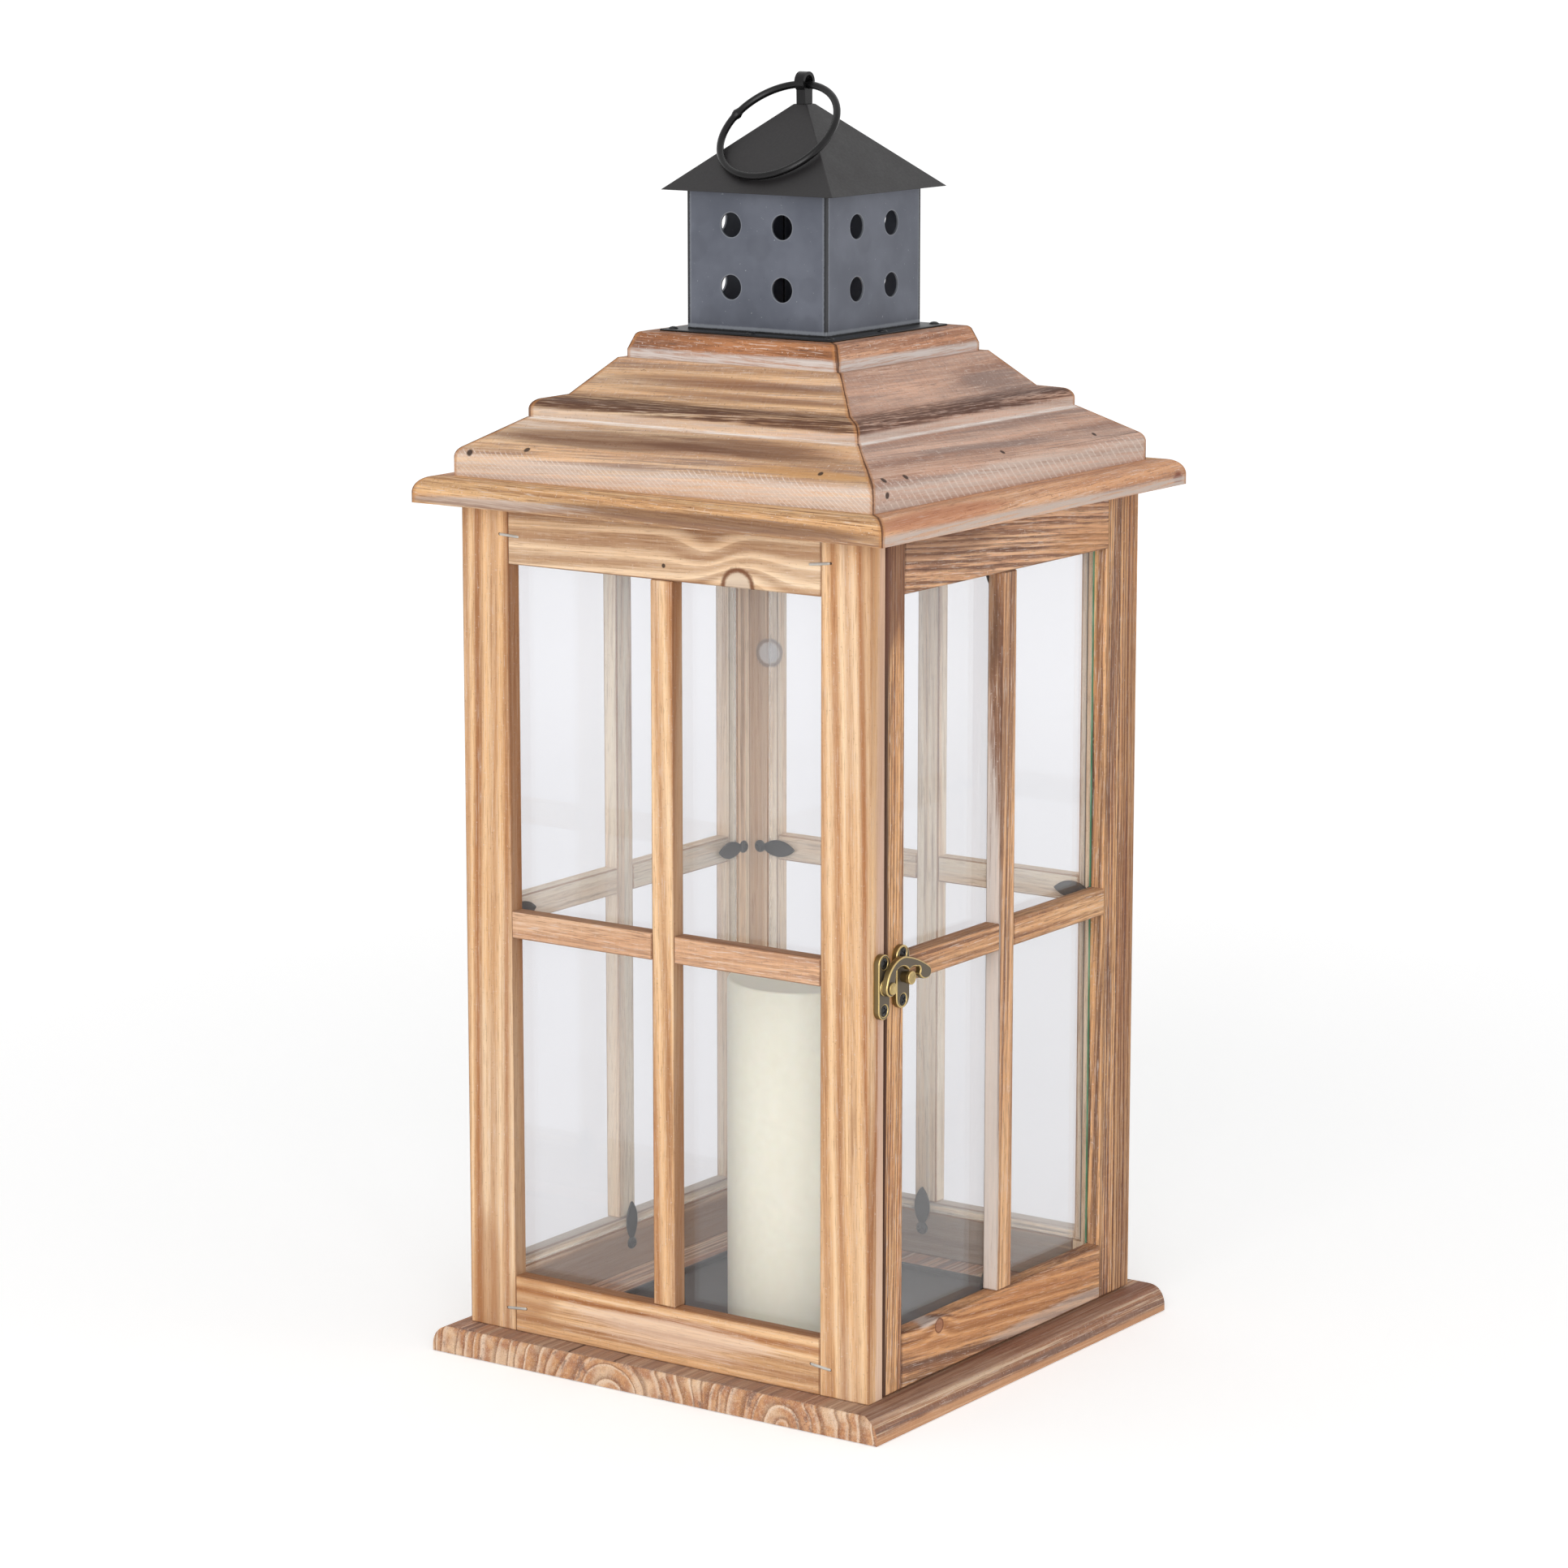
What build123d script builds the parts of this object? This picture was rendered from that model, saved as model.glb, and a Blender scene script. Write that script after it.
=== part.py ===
from build123d import *
import os

os.makedirs("parts", exist_ok=True)

# Millimetres. Z is up, the door faces -Y, the origin lies under the middle of the base.

# Base board
base_width = 223.0
base_thickness = 11.5
base_side_round = 9.0
base_end_round = 2.5

# Glazed body
body_width = 200.0
body_height = 345.8
panel_thickness = 10.0
stile_width = 23.6
rail_width = 23.8
mullion_width = 10.8
cross_bar_width = 11.2
cross_bar_gap = 0.1
rabbet_width = 4.0
rabbet_depth = 3.0
glass_thickness = 2.6
glass_edge_gap = 0.3

# Door
door_latch_side_gap = 0.7
door_hinge_side_gap = 0.4
door_bottom_gap = 0.8
door_top_gap = 1.0

# Candle and tray
tray_width = 132.0
tray_floor = 1.2
tray_rim_height = 3.6
tray_rim_thickness = 1.5
candle_radius = 31.5
candle_height = 145.5
candle_left = 15.0
candle_forward = 10.5
wick_radius = 0.9
wick_height = 8.0

# Roof rings, from the eave up to the cap
eave_width = 228.6
eave_thickness = 10.6
eave_round = 6.5
eave_inner_width = 128.0
lower_width = 204.0
lower_height = 23.3
lower_band = 10.3
lower_slope_run = 21.2
lower_round = 5.0
lower_inner_width = 128.0
upper_width = 160.8
upper_height = 23.4
upper_nose = 6.8
upper_nose_rise = 1.8
upper_nose_run = 11.4
upper_slope_run = 14.5
upper_round = 4.5
upper_inner_width = 84.0
cap_width = 103.4
cap_height = 10.4
cap_band = 3.4
cap_slope_run = 2.7
cap_round = 2.4
cap_inner_width = 58.0
mitre_gap = 0.15

# Chimney
sheet = 0.8
chimney_width = 68.2
flange_width = 84.4
chimney_roof_width = 83.8
chimney_roof_height = 36.6
chimney_eave_height = 57.0
apex_flat_width = 6.4
apex_plug = 1.4
vent_radius = 5.0
vent_spacing = 25.0
vent_height = 31.1
nail_inset = 4.0
nail_head_radius = 2.0
nail_head_height = 0.9
nail_radius = 0.8
nail_depth = 8.0

# Hanging eye and ring
eye_inner_radius = 2.8
eye_strap = 1.4
eye_width = 4.4
eye_neck = 5.4
eye_rise = 6.0
eye_leg = 6.0
ring_radius = 25.5
ring_wire_radius = 1.5
ring_play = 0.3
ring_rest_angle = 43.2

# Latch
latch_inset = 5.8
latch_height = 181.0
latch_plate_width = 7.8
latch_plate_length = 26.2
latch_plate_thickness = 2.9
latch_screw_spacing = 18.9
latch_screw_head_radius = 2.3
latch_screw_head_height = 1.0
latch_screw_radius = 1.3
latch_screw_depth = 8.0
rivet_radius = 1.4
rivet_head_radius = 2.5
rivet_head_height = 1.1
hook_lift = 0.7
hook_thickness = 2.7
hook_boss_radius = 3.4
hook_play = 0.12
hook_mouth_gap = 0.4
hook_band = 5.9
hook_reach = 13.6
keeper_width = 9.3
keeper_length = 25.4
keeper_thickness = 2.7
keeper_screw_spacing = 18.7
keeper_screw_depth = 5.8
post_rise = 1.8
post_length = 4.4
post_root_radius = 2.2
post_tip_radius = 2.8

# Door hinges
hinge_height = 25.0
hinge_spread = 210.0
leaf_thickness = 0.9
frame_leaf_width = 13.0
door_leaf_width = 9.4
barrel_radius = 1.8
barrel_lift = 0.2
barrel_gap = 0.2
barrel_side_gap = 0.4
pin_radius = 0.9
pin_head_radius = 1.5
pin_head_height = 0.7
hinge_screw_spacing = 15.0
hinge_screw_head_radius = 1.5
hinge_screw_head_height = 0.6
hinge_screw_radius = 0.9
hinge_screw_depth = 6.5
frame_leaf_screw_inset = 8.0
door_leaf_screw_inset = 5.6

# Glass clips
stile_clip_inset = 7.9
rail_clip_inset = 11.6
clip_head_radius = 2.7
clip_leaf_half_width = 3.7
clip_leaf_start = 1.0
clip_reach = 18.6
clip_thickness = 0.9
clip_lift = 0.08
clip_play = 0.08
clip_screw_radius = 1.2
clip_screw_head_radius = 2.4
clip_screw_head_height = 1.0
clip_screw_depth = 6.0

# Fits
running_fit = 0.05
pilot_gap = 0.05
pilot_extra_depth = 0.4

# Planes and heights that follow from the sizes above
half_body = body_width / 2
inner_half = half_body - panel_thickness
opening_half = half_body - stile_width
panel_bottom = base_thickness
panel_top = base_thickness + body_height
opening_bottom = panel_bottom + rail_width
opening_top = panel_top - rail_width
opening_middle = (opening_bottom + opening_top) / 2
lower_bottom = panel_top + eave_thickness
upper_bottom = lower_bottom + lower_height
cap_bottom = upper_bottom + upper_height
cap_top = cap_bottom + cap_height
chimney_eave = cap_top + chimney_eave_height
apex = chimney_eave + chimney_roof_height
eye_centre = apex + eye_rise
ring_axis_height = eye_centre - eye_inner_radius + ring_play + ring_wire_radius
rise = (Align.CENTER, Align.CENTER, Align.MIN)
sink = (Align.CENTER, Align.CENTER, Align.MAX)


def save(name, *shapes):
    solids = []
    for shape in shapes:
        solids += shape.solids()
    export_step(Compound(solids), f"parts/{name}.step")


def block(low, high):
    size = [b - a for a, b in zip(low, high)]
    middle = [(a + b) / 2 for a, b in zip(low, high)]
    return Pos(*middle) * Box(*size)


# A screw stands on z = 0 with its shank below.
def screw(head_radius, head_height, radius, depth):
    head = Cylinder(head_radius, head_height, align=rise)
    head = fillet(head.edges().sort_by(Axis.Z)[-1], head_height * 0.45)
    return head + Cylinder(radius, depth, align=sink)


def pilot(radius, depth):
    return Cylinder(radius + pilot_gap, depth + pilot_extra_depth, align=sink)


clip_pilot = pilot(clip_screw_radius, clip_screw_depth)
hinge_pilot = pilot(hinge_screw_radius, hinge_screw_depth)
nail_pilot = pilot(nail_radius, nail_depth)

# Base, tray and candle
base_profile = Rectangle(base_width, base_thickness, align=(Align.CENTER, Align.MIN))
base_tops = base_profile.vertices().group_by(Axis.Y)[-1]
base_run = extrude(Plane.YZ * fillet(base_tops, base_side_round), amount=base_width / 2, both=True)
base_cross = extrude(Plane.XZ * fillet(base_tops, base_end_round), amount=base_width / 2, both=True)
save("base_board", base_run & base_cross)

tray = Box(tray_width, tray_width, tray_rim_height, align=rise)
tray_hollow_width = tray_width - 2 * tray_rim_thickness
tray -= Pos(0, 0, tray_floor) * Box(tray_hollow_width, tray_hollow_width, tray_rim_height, align=rise)
save("candle_tray", Pos(0, 0, base_thickness) * tray)

candle_bottom = base_thickness + tray_floor
candle_top = candle_bottom + candle_height
candle_place = (-candle_left, -candle_forward)
save("pillar_candle", Pos(*candle_place, candle_bottom) * Cylinder(candle_radius, candle_height, align=rise))
save("candle_wick", Pos(*candle_place, candle_top) * Cylinder(wick_radius, wick_height, align=rise))

# Places of the four glass clips on one panel: x points along the leaf, z into the lantern.
clip_side = opening_half + stile_clip_inset
clip_left = Plane((-clip_side, panel_thickness, opening_middle), (1, 0, 0), (0, 1, 0)).location
clip_right = Plane((clip_side, panel_thickness, opening_middle), (-1, 0, 0), (0, 1, 0)).location
clip_low = Plane((0, panel_thickness, opening_bottom - rail_clip_inset), (0, 0, 1), (0, 1, 0)).location
clip_high = Plane((0, panel_thickness, opening_top + rail_clip_inset), (0, 0, -1), (0, 1, 0)).location
clip_places = [clip_left, clip_right, clip_low, clip_high]

leaf_middle = (clip_leaf_start + clip_reach) / 2
leaf_upper = ThreePointArc((clip_leaf_start, 0), (leaf_middle, clip_leaf_half_width), (clip_reach, 0))
leaf_lower = ThreePointArc((clip_reach, 0), (leaf_middle, -clip_leaf_half_width), (clip_leaf_start, 0))
clip_outline = make_face([leaf_upper, leaf_lower]) + Circle(clip_head_radius)
clip_outline -= Circle(clip_screw_radius + running_fit)
clip = Pos(0, 0, clip_lift) * extrude(clip_outline, amount=clip_thickness)
clip_seat = clip_lift + clip_thickness + clip_play
clip_shank = clip_screw_depth + clip_seat
clip_screw = screw(clip_screw_head_radius, clip_screw_head_height, clip_screw_radius, clip_shank)
clip_screw = Pos(0, 0, clip_seat) * clip_screw


# One glazed panel in its own frame: outer face on y = 0, inside on y = panel_thickness.
def panel_stiles(left, right, bottom, top, place, cuts):
    pocket = glass_pocket()
    boards = []
    for start, end in ((left, -opening_half), (opening_half, right)):
        board = block((start, 0, bottom), (end, panel_thickness, top)) - pocket
        for cut in cuts:
            board -= cut
        boards.append(place * board)
    return boards


def panel_rails(bottom, top, place):
    pocket = glass_pocket()
    boards = []
    for low, high in ((bottom, opening_bottom), (opening_top, top)):
        board = block((-opening_half, 0, low), (opening_half, panel_thickness, high)) - pocket
        board -= clip_low * clip_pilot
        board -= clip_high * clip_pilot
        boards.append(place * board)
    return boards


def glass_pocket():
    across = opening_half + rabbet_width
    low = opening_bottom - rabbet_width
    high = opening_top + rabbet_width
    return block((-across, panel_thickness - rabbet_depth, low), (across, panel_thickness, high))


def panel_bars(place):
    depth = panel_thickness - rabbet_depth
    half = mullion_width / 2
    low = opening_middle - cross_bar_width / 2
    high = opening_middle + cross_bar_width / 2
    mullion = block((-half, 0, opening_bottom), (half, depth, opening_top))
    left_bar = block((-opening_half, 0, low), (-half - cross_bar_gap, depth, high))
    right_bar = block((half + cross_bar_gap, 0, low), (opening_half, depth, high))
    return [place * mullion, place * left_bar, place * right_bar]


def panel_glass(place):
    across = opening_half + rabbet_width - glass_edge_gap
    low = opening_bottom - rabbet_width + glass_edge_gap
    high = opening_top + rabbet_width - glass_edge_gap
    front = panel_thickness - rabbet_depth
    return place * block((-across, front, low), (across, front + glass_thickness, high))


# Fixed panels and the door
door_place = Pos(0, -half_body, 0)
left_place = Rot(0, 0, -90) * door_place
right_place = Rot(0, 0, 90) * door_place
back_place = Rot(0, 0, 180) * door_place
door_left = -inner_half + door_latch_side_gap
door_bottom = panel_bottom + door_bottom_gap
door_top = panel_top - door_top_gap
right_front = -inner_half + door_hinge_side_gap

stile_clip_cuts = [clip_left * clip_pilot, clip_right * clip_pilot]

# Latch on the front edge of the left panel, keeper on the door: z points out of the front.
latch_x = -half_body + latch_inset
keeper_x = latch_x + hook_reach
latch_place = Plane((latch_x, -half_body, latch_height), (1, 0, 0), (0, -1, 0)).location
keeper_place = Plane((keeper_x, -half_body, latch_height + post_rise), (1, 0, 0), (0, -1, 0)).location


def screw_plate(width, length, thickness, spacing):
    plate = extrude(SlotOverall(length, width, rotation=90), amount=thickness)
    seat = thickness - latch_screw_head_height
    for y in (-spacing / 2, spacing / 2):
        plate -= Pos(0, y, 0) * Cylinder(latch_screw_radius + pilot_gap, thickness, align=rise)
        head_room = Cylinder(latch_screw_head_radius + pilot_gap, latch_screw_head_height, align=rise)
        plate -= Pos(0, y, seat) * head_room
    return plate


def plate_screws(thickness, spacing, depth, place):
    seat = thickness - latch_screw_head_height
    long = depth + seat
    one = screw(latch_screw_head_radius, latch_screw_head_height, latch_screw_radius, long)
    return [place * Pos(0, y, seat) * one for y in (-spacing / 2, spacing / 2)]


def plate_pilots(spacing, depth, place):
    hole = pilot(latch_screw_radius, depth)
    return [place * Pos(0, y, 0) * hole for y in (-spacing / 2, spacing / 2)]


latch_plate = screw_plate(latch_plate_width, latch_plate_length, latch_plate_thickness, latch_screw_spacing)
hook_back = latch_plate_thickness + hook_lift
latch_plate += Cylinder(hook_boss_radius, hook_back - hook_play, align=rise)
latch_plate -= Cylinder(rivet_radius, hook_back, align=rise)
save("latch_plate", latch_place * latch_plate)
latch_screws = plate_screws(latch_plate_thickness, latch_screw_spacing, latch_screw_depth, latch_place)
save("latch_screws", *latch_screws)

rivet_seat = hook_back + hook_thickness + hook_play
rivet = Cylinder(rivet_radius, rivet_seat, align=rise)
rivet_head = Cylinder(rivet_head_radius, rivet_head_height, align=rise)
rivet_head = fillet(rivet_head.edges().sort_by(Axis.Z)[-1], rivet_head_height * 0.6)
save("latch_rivet", latch_place * (rivet + Pos(0, 0, rivet_seat) * rivet_head))

# The hook climbs from its boss, passes over the post and curls down to its tip.
mouth = post_rise + post_tip_radius + hook_mouth_gap
heel = (-3.0, 1.4)
shoulder = (1.9, mouth + 3.9)
crown = (hook_reach - 3.0, mouth + hook_band)
slope = (hook_reach + 4.0, mouth + 3.8)
nose = (hook_reach + 13.8, mouth - 1.1)
tip = (hook_reach + 14.9, mouth - 3.5)
tip_low = (hook_reach + 12.4, mouth - 5.6)
curl_low = (hook_reach + 9.0, mouth - 5.2)
curl_end = (hook_reach + 6.4, mouth - 2.8)
curl_inside = (hook_reach + 7.1, mouth - 1.1)
mouth_end = (hook_reach + 4.8, mouth + 0.3)
mouth_top = (hook_reach + 2.0, mouth + 0.9)
tooth = (hook_reach - 1.0, mouth)
arch_top = (hook_reach - 5.6, mouth + 2.4)
arch_foot = (3.6, mouth + 1.3)
boss_side = (2.6, 1.4)
hook_edges = [
    ThreePointArc(heel, shoulder, crown),
    ThreePointArc(crown, slope, nose),
    ThreePointArc(nose, tip, tip_low),
    ThreePointArc(tip_low, curl_low, curl_end),
    ThreePointArc(curl_end, curl_inside, mouth_end),
    ThreePointArc(mouth_end, mouth_top, tooth),
    ThreePointArc(tooth, arch_top, arch_foot),
    Line(arch_foot, boss_side),
    Line(boss_side, heel),
]
hook_outline = make_face(hook_edges) + Circle(hook_boss_radius)
hook_outline -= Circle(rivet_radius + running_fit)
save("latch_hook", latch_place * Pos(0, 0, hook_back) * extrude(hook_outline, amount=hook_thickness))

keeper = screw_plate(keeper_width, keeper_length, keeper_thickness, keeper_screw_spacing)
keeper += Pos(0, 0, keeper_thickness) * Cone(post_root_radius, post_tip_radius, post_length, align=rise)
save("keeper_plate", keeper_place * keeper)
keeper_screws = plate_screws(keeper_thickness, keeper_screw_spacing, keeper_screw_depth, keeper_place)
save("keeper_screws", *keeper_screws)

# Door hinges on the right-hand side, leaves on the outer faces, axis level with the door's back.
hinge_x = half_body + barrel_lift + barrel_radius
hinge_y = -inner_half + door_hinge_side_gap / 2
barrel_length = (hinge_height - 2 * barrel_gap) / 3
barrel_room = barrel_radius + barrel_side_gap
outer_barrel = (hinge_height - barrel_length) / 2
bore = Cylinder(pin_radius + running_fit, hinge_height)
barrel = Cylinder(barrel_radius, barrel_length)
frame_barrels = Pos(0, 0, outer_barrel) * barrel + Pos(0, 0, -outer_barrel) * barrel
middle_room = barrel_length / 2 + barrel_gap
leaf_low = -barrel_lift - barrel_radius
leaf_high = leaf_low + leaf_thickness
half_hinge = hinge_height / 2

frame_leaf = block((leaf_low, 0, -half_hinge), (leaf_high, frame_leaf_width, half_hinge))
frame_leaf -= block((leaf_low, 0, -middle_room), (leaf_high, barrel_room, middle_room))
frame_leaf += frame_barrels
frame_leaf -= bore

door_leaf = block((leaf_low, -door_leaf_width, -half_hinge), (leaf_high, 0, half_hinge))
for sign in (-1, 1):
    edge = half_hinge * sign
    near = barrel_length / 2 * sign
    door_leaf -= block((leaf_low, -barrel_room, min(edge, near)), (leaf_high, 0, max(edge, near)))
door_leaf += barrel
door_leaf -= bore

pin = Cylinder(pin_radius, hinge_height)
pin += Pos(0, 0, half_hinge) * Cylinder(pin_head_radius, pin_head_height, align=rise)
pin += Pos(0, 0, -half_hinge) * Cylinder(pin_head_radius, pin_head_height, align=sink)

hinge_screw = screw(
    hinge_screw_head_radius, hinge_screw_head_height, hinge_screw_radius, hinge_screw_depth + leaf_thickness
)
leaf_hole = Cylinder(hinge_screw_radius + pilot_gap, leaf_thickness, align=rise)


def hinge_screw_places(y):
    spots = []
    for z in (-hinge_screw_spacing / 2, hinge_screw_spacing / 2):
        spots.append(Plane((leaf_low, y, z), (0, 1, 0), (1, 0, 0)).location)
    return spots


frame_spots = hinge_screw_places(frame_leaf_screw_inset)
door_spots = hinge_screw_places(-door_leaf_screw_inset)
for spot in frame_spots:
    frame_leaf -= spot * leaf_hole
for spot in door_spots:
    door_leaf -= spot * leaf_hole

hinge_places = []
for z in (opening_middle - hinge_spread / 2, opening_middle + hinge_spread / 2):
    hinge_places.append(Pos(hinge_x, hinge_y, z))

leaf_top = Pos(0, 0, leaf_thickness)
save("hinge_frame_leaves", *[place * frame_leaf for place in hinge_places])
save("hinge_door_leaves", *[place * door_leaf for place in hinge_places])
save("hinge_pins", *[place * pin for place in hinge_places])
save("hinge_frame_screws", *[p * s * leaf_top * hinge_screw for p in hinge_places for s in frame_spots])
save("hinge_door_screws", *[p * s * leaf_top * hinge_screw for p in hinge_places for s in door_spots])
frame_hinge_cuts = [right_place.inverse() * p * s * hinge_pilot for p in hinge_places for s in frame_spots]
door_hinge_cuts = [door_place.inverse() * p * s * hinge_pilot for p in hinge_places for s in door_spots]

# Boards, bars and glass of each panel
latch_pilots = plate_pilots(latch_screw_spacing, latch_screw_depth, latch_place)
keeper_pilots = plate_pilots(keeper_screw_spacing, keeper_screw_depth, keeper_place)
latch_cuts = [left_place.inverse() * cut for cut in latch_pilots]
keeper_cuts = [door_place.inverse() * cut for cut in keeper_pilots]
left_cuts = stile_clip_cuts + latch_cuts
right_cuts = stile_clip_cuts + frame_hinge_cuts
door_cuts = stile_clip_cuts + keeper_cuts + door_hinge_cuts

save("left_stiles", *panel_stiles(-half_body, half_body, panel_bottom, panel_top, left_place, left_cuts))
save("right_stiles", *panel_stiles(right_front, half_body, panel_bottom, panel_top, right_place, right_cuts))
back_stiles = panel_stiles(-inner_half, inner_half, panel_bottom, panel_top, back_place, stile_clip_cuts)
save("back_stiles", *back_stiles)
save("door_stiles", *panel_stiles(door_left, half_body, door_bottom, door_top, door_place, door_cuts))
save("door_rails", *panel_rails(door_bottom, door_top, door_place))
for name, place in (("left", left_place), ("right", right_place), ("back", back_place)):
    save(f"{name}_rails", *panel_rails(panel_bottom, panel_top, place))
for name, place in (("left", left_place), ("right", right_place), ("back", back_place), ("door", door_place)):
    save(f"{name}_glazing_bars", *panel_bars(place))
    save(f"{name}_glass", panel_glass(place))

# Glass clips and their screws, named by the side of the lantern each one stands on
for panel, place, sides in (
    ("left", left_place, ("back", "front", "bottom", "top")),
    ("right", right_place, ("front", "back", "bottom", "top")),
    ("back", back_place, ("right", "left", "bottom", "top")),
    ("door", door_place, ("left", "right", "bottom", "top")),
):
    for side, spot in zip(sides, clip_places):
        save(f"clip_{panel}_{side}", place * spot * clip)
fixed_places = [left_place, right_place, back_place]
save("panel_clip_screws", *[place * spot * clip_screw for place in fixed_places for spot in clip_places])
save("door_clip_screws", *[door_place * spot * clip_screw for spot in clip_places])


# A roof ring is four boards of one profile, mitred at the corners.
def ring_boards(profile, reach):
    run = extrude(Plane.XZ * profile, amount=reach, both=True)
    far = reach * 2
    wedge = Polygon((mitre_gap, 0), (far, mitre_gap - far), (far, far - mitre_gap), align=None)
    board = run & extrude(wedge, amount=apex)
    return [Rot(0, 0, turn) * board for turn in (0, 90, 180, 270)]


def rounded(points, corner, radius):
    face = Polygon(*points, align=None)
    return fillet(face.vertices().sort_by_distance(Vertex(*corner))[0], radius)


eave_half = eave_width / 2
eave_corner = (eave_half, lower_bottom)
eave_inner = eave_inner_width / 2
eave_points = [(eave_inner, panel_top), (eave_half, panel_top), eave_corner, (eave_inner, lower_bottom)]
save("eave_boards", *ring_boards(rounded(eave_points, eave_corner, eave_round), eave_half))

lower_half = lower_width / 2
lower_inner = lower_inner_width / 2
lower_corner = (lower_half, lower_bottom + lower_band)
lower_points = [
    (lower_inner, lower_bottom),
    (lower_half, lower_bottom),
    lower_corner,
    (lower_half - lower_slope_run, upper_bottom),
    (lower_inner, upper_bottom),
]
save("lower_roof_mouldings", *ring_boards(rounded(lower_points, lower_corner, lower_round), lower_half))

upper_half = upper_width / 2
upper_inner = upper_inner_width / 2
upper_corner = (upper_half, upper_bottom + upper_nose)
upper_step = (upper_half - upper_nose_run, upper_bottom + upper_nose + upper_nose_rise)
upper_points = [
    (upper_inner, upper_bottom),
    (upper_half, upper_bottom),
    upper_corner,
    upper_step,
    (upper_step[0] - upper_slope_run, cap_bottom),
    (upper_inner, cap_bottom),
]
save("upper_roof_mouldings", *ring_boards(rounded(upper_points, upper_corner, upper_round), upper_half))

cap_half = cap_width / 2
cap_inner = cap_inner_width / 2
cap_corner = (cap_half - cap_slope_run, cap_top)
cap_points = [
    (cap_inner, cap_bottom),
    (cap_half, cap_bottom),
    (cap_half, cap_bottom + cap_band),
    cap_corner,
    (cap_inner, cap_top),
]
nail_line = flange_width / 2 - nail_inset
nail_places = []
for x in (-nail_line, 0, nail_line):
    for y in (-nail_line, 0, nail_line):
        if x or y:
            nail_places.append(Pos(x, y, cap_top))
cap_boards = []
for board in ring_boards(rounded(cap_points, cap_corner, cap_round), cap_half):
    for place in nail_places:
        board -= place * nail_pilot
    cap_boards.append(board)
save("cap_boards", *cap_boards)
nail = screw(nail_head_radius, nail_head_height, nail_radius, nail_depth + sheet)
save("chimney_nails", *[place * Pos(0, 0, sheet) * nail for place in nail_places])


# Chimney: a four-sided sheet pyramid on a folded sheet box with a nailed flange
def pyramid(width, bottom, top, top_width):
    foot = Pos(0, 0, bottom) * Rectangle(width, width)
    crest = Pos(0, 0, top) * Rectangle(top_width, top_width)
    return loft([foot, crest], ruled=True)


roof_pitch = chimney_roof_height / (chimney_roof_width / 2)
apex_flat = apex - roof_pitch * apex_flat_width / 2
roof_drop = sheet * (1 + roof_pitch**2) ** 0.5
inside_width = chimney_roof_width - 2 * roof_drop / roof_pitch
inside_top = apex_flat - apex_plug
inside_top_width = inside_width - 2 * (inside_top - chimney_eave) / roof_pitch
inside_foot_width = inside_width + 2 * (chimney_eave - cap_top) / roof_pitch
roof_outside = pyramid(chimney_roof_width, chimney_eave, apex_flat, apex_flat_width)
roof_inside = pyramid(inside_foot_width, cap_top, inside_top, inside_top_width)
chimney_roof = roof_outside - roof_inside
chimney_roof -= Pos(0, 0, apex) * Box(eye_neck, eye_width, chimney_roof_height)
save("chimney_roof", chimney_roof)

box_room = chimney_width - 2 * sheet
box_outside = Pos(0, 0, cap_top) * Box(chimney_width, chimney_width, apex - cap_top, align=rise)
flange = Pos(0, 0, cap_top) * Box(flange_width, flange_width, sheet, align=rise)
chimney_box = (box_outside & roof_inside) + flange
chimney_box -= Pos(0, 0, cap_top) * Box(box_room, box_room, apex - cap_top, align=rise)
vent = Cylinder(vent_radius, chimney_width * 2)
for across in (-vent_spacing / 2, vent_spacing / 2):
    for up in (-vent_spacing / 2, vent_spacing / 2):
        z = cap_top + vent_height + up
        chimney_box -= Plane((across, 0, z), (1, 0, 0), (0, 1, 0)).location * vent
        chimney_box -= Plane((0, across, z), (0, 1, 0), (1, 0, 0)).location * vent
for place in nail_places:
    chimney_box -= place * Cylinder(nail_radius + pilot_gap, sheet, align=rise)
save("chimney_box", chimney_box)

# Hanging eye and ring
eye_outer_radius = eye_inner_radius + eye_strap
eye_place = Plane((0, 0, eye_centre), (1, 0, 0), (0, -1, 0)).location
eye = extrude(Circle(eye_outer_radius), amount=eye_width / 2, both=True)
neck_bottom = apex_flat - eye_leg - eye_centre
eye += block((-eye_neck / 2, neck_bottom, -eye_width / 2), (eye_neck / 2, 0, eye_width / 2))
eye -= extrude(Circle(eye_inner_radius), amount=eye_width, both=True)
save("hanger_eye", eye_place * eye)

ring_place = Pos(0, 0, ring_axis_height) * Rot(0, -ring_rest_angle, 0)
save("hanging_ring", ring_place * Pos(-ring_radius, 0, 0) * Torus(ring_radius, ring_wire_radius))
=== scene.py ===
import bpy
import bmesh
import math
import random
from mathutils import Vector, Matrix


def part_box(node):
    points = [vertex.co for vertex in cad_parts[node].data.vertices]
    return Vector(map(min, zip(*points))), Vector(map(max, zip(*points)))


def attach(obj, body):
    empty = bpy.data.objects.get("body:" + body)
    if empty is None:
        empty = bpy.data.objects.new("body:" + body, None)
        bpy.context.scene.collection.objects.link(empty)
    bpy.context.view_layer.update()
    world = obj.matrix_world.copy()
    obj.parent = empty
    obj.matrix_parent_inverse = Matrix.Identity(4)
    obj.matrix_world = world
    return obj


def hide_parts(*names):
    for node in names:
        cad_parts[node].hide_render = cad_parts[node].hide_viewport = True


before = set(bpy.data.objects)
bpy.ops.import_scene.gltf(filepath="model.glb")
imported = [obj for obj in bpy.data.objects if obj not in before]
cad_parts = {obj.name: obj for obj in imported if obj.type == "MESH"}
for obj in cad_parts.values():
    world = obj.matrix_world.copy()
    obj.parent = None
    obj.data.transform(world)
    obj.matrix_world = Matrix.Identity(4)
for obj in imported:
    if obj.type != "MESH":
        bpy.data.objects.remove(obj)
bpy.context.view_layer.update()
rng = random.Random(11)
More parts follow.
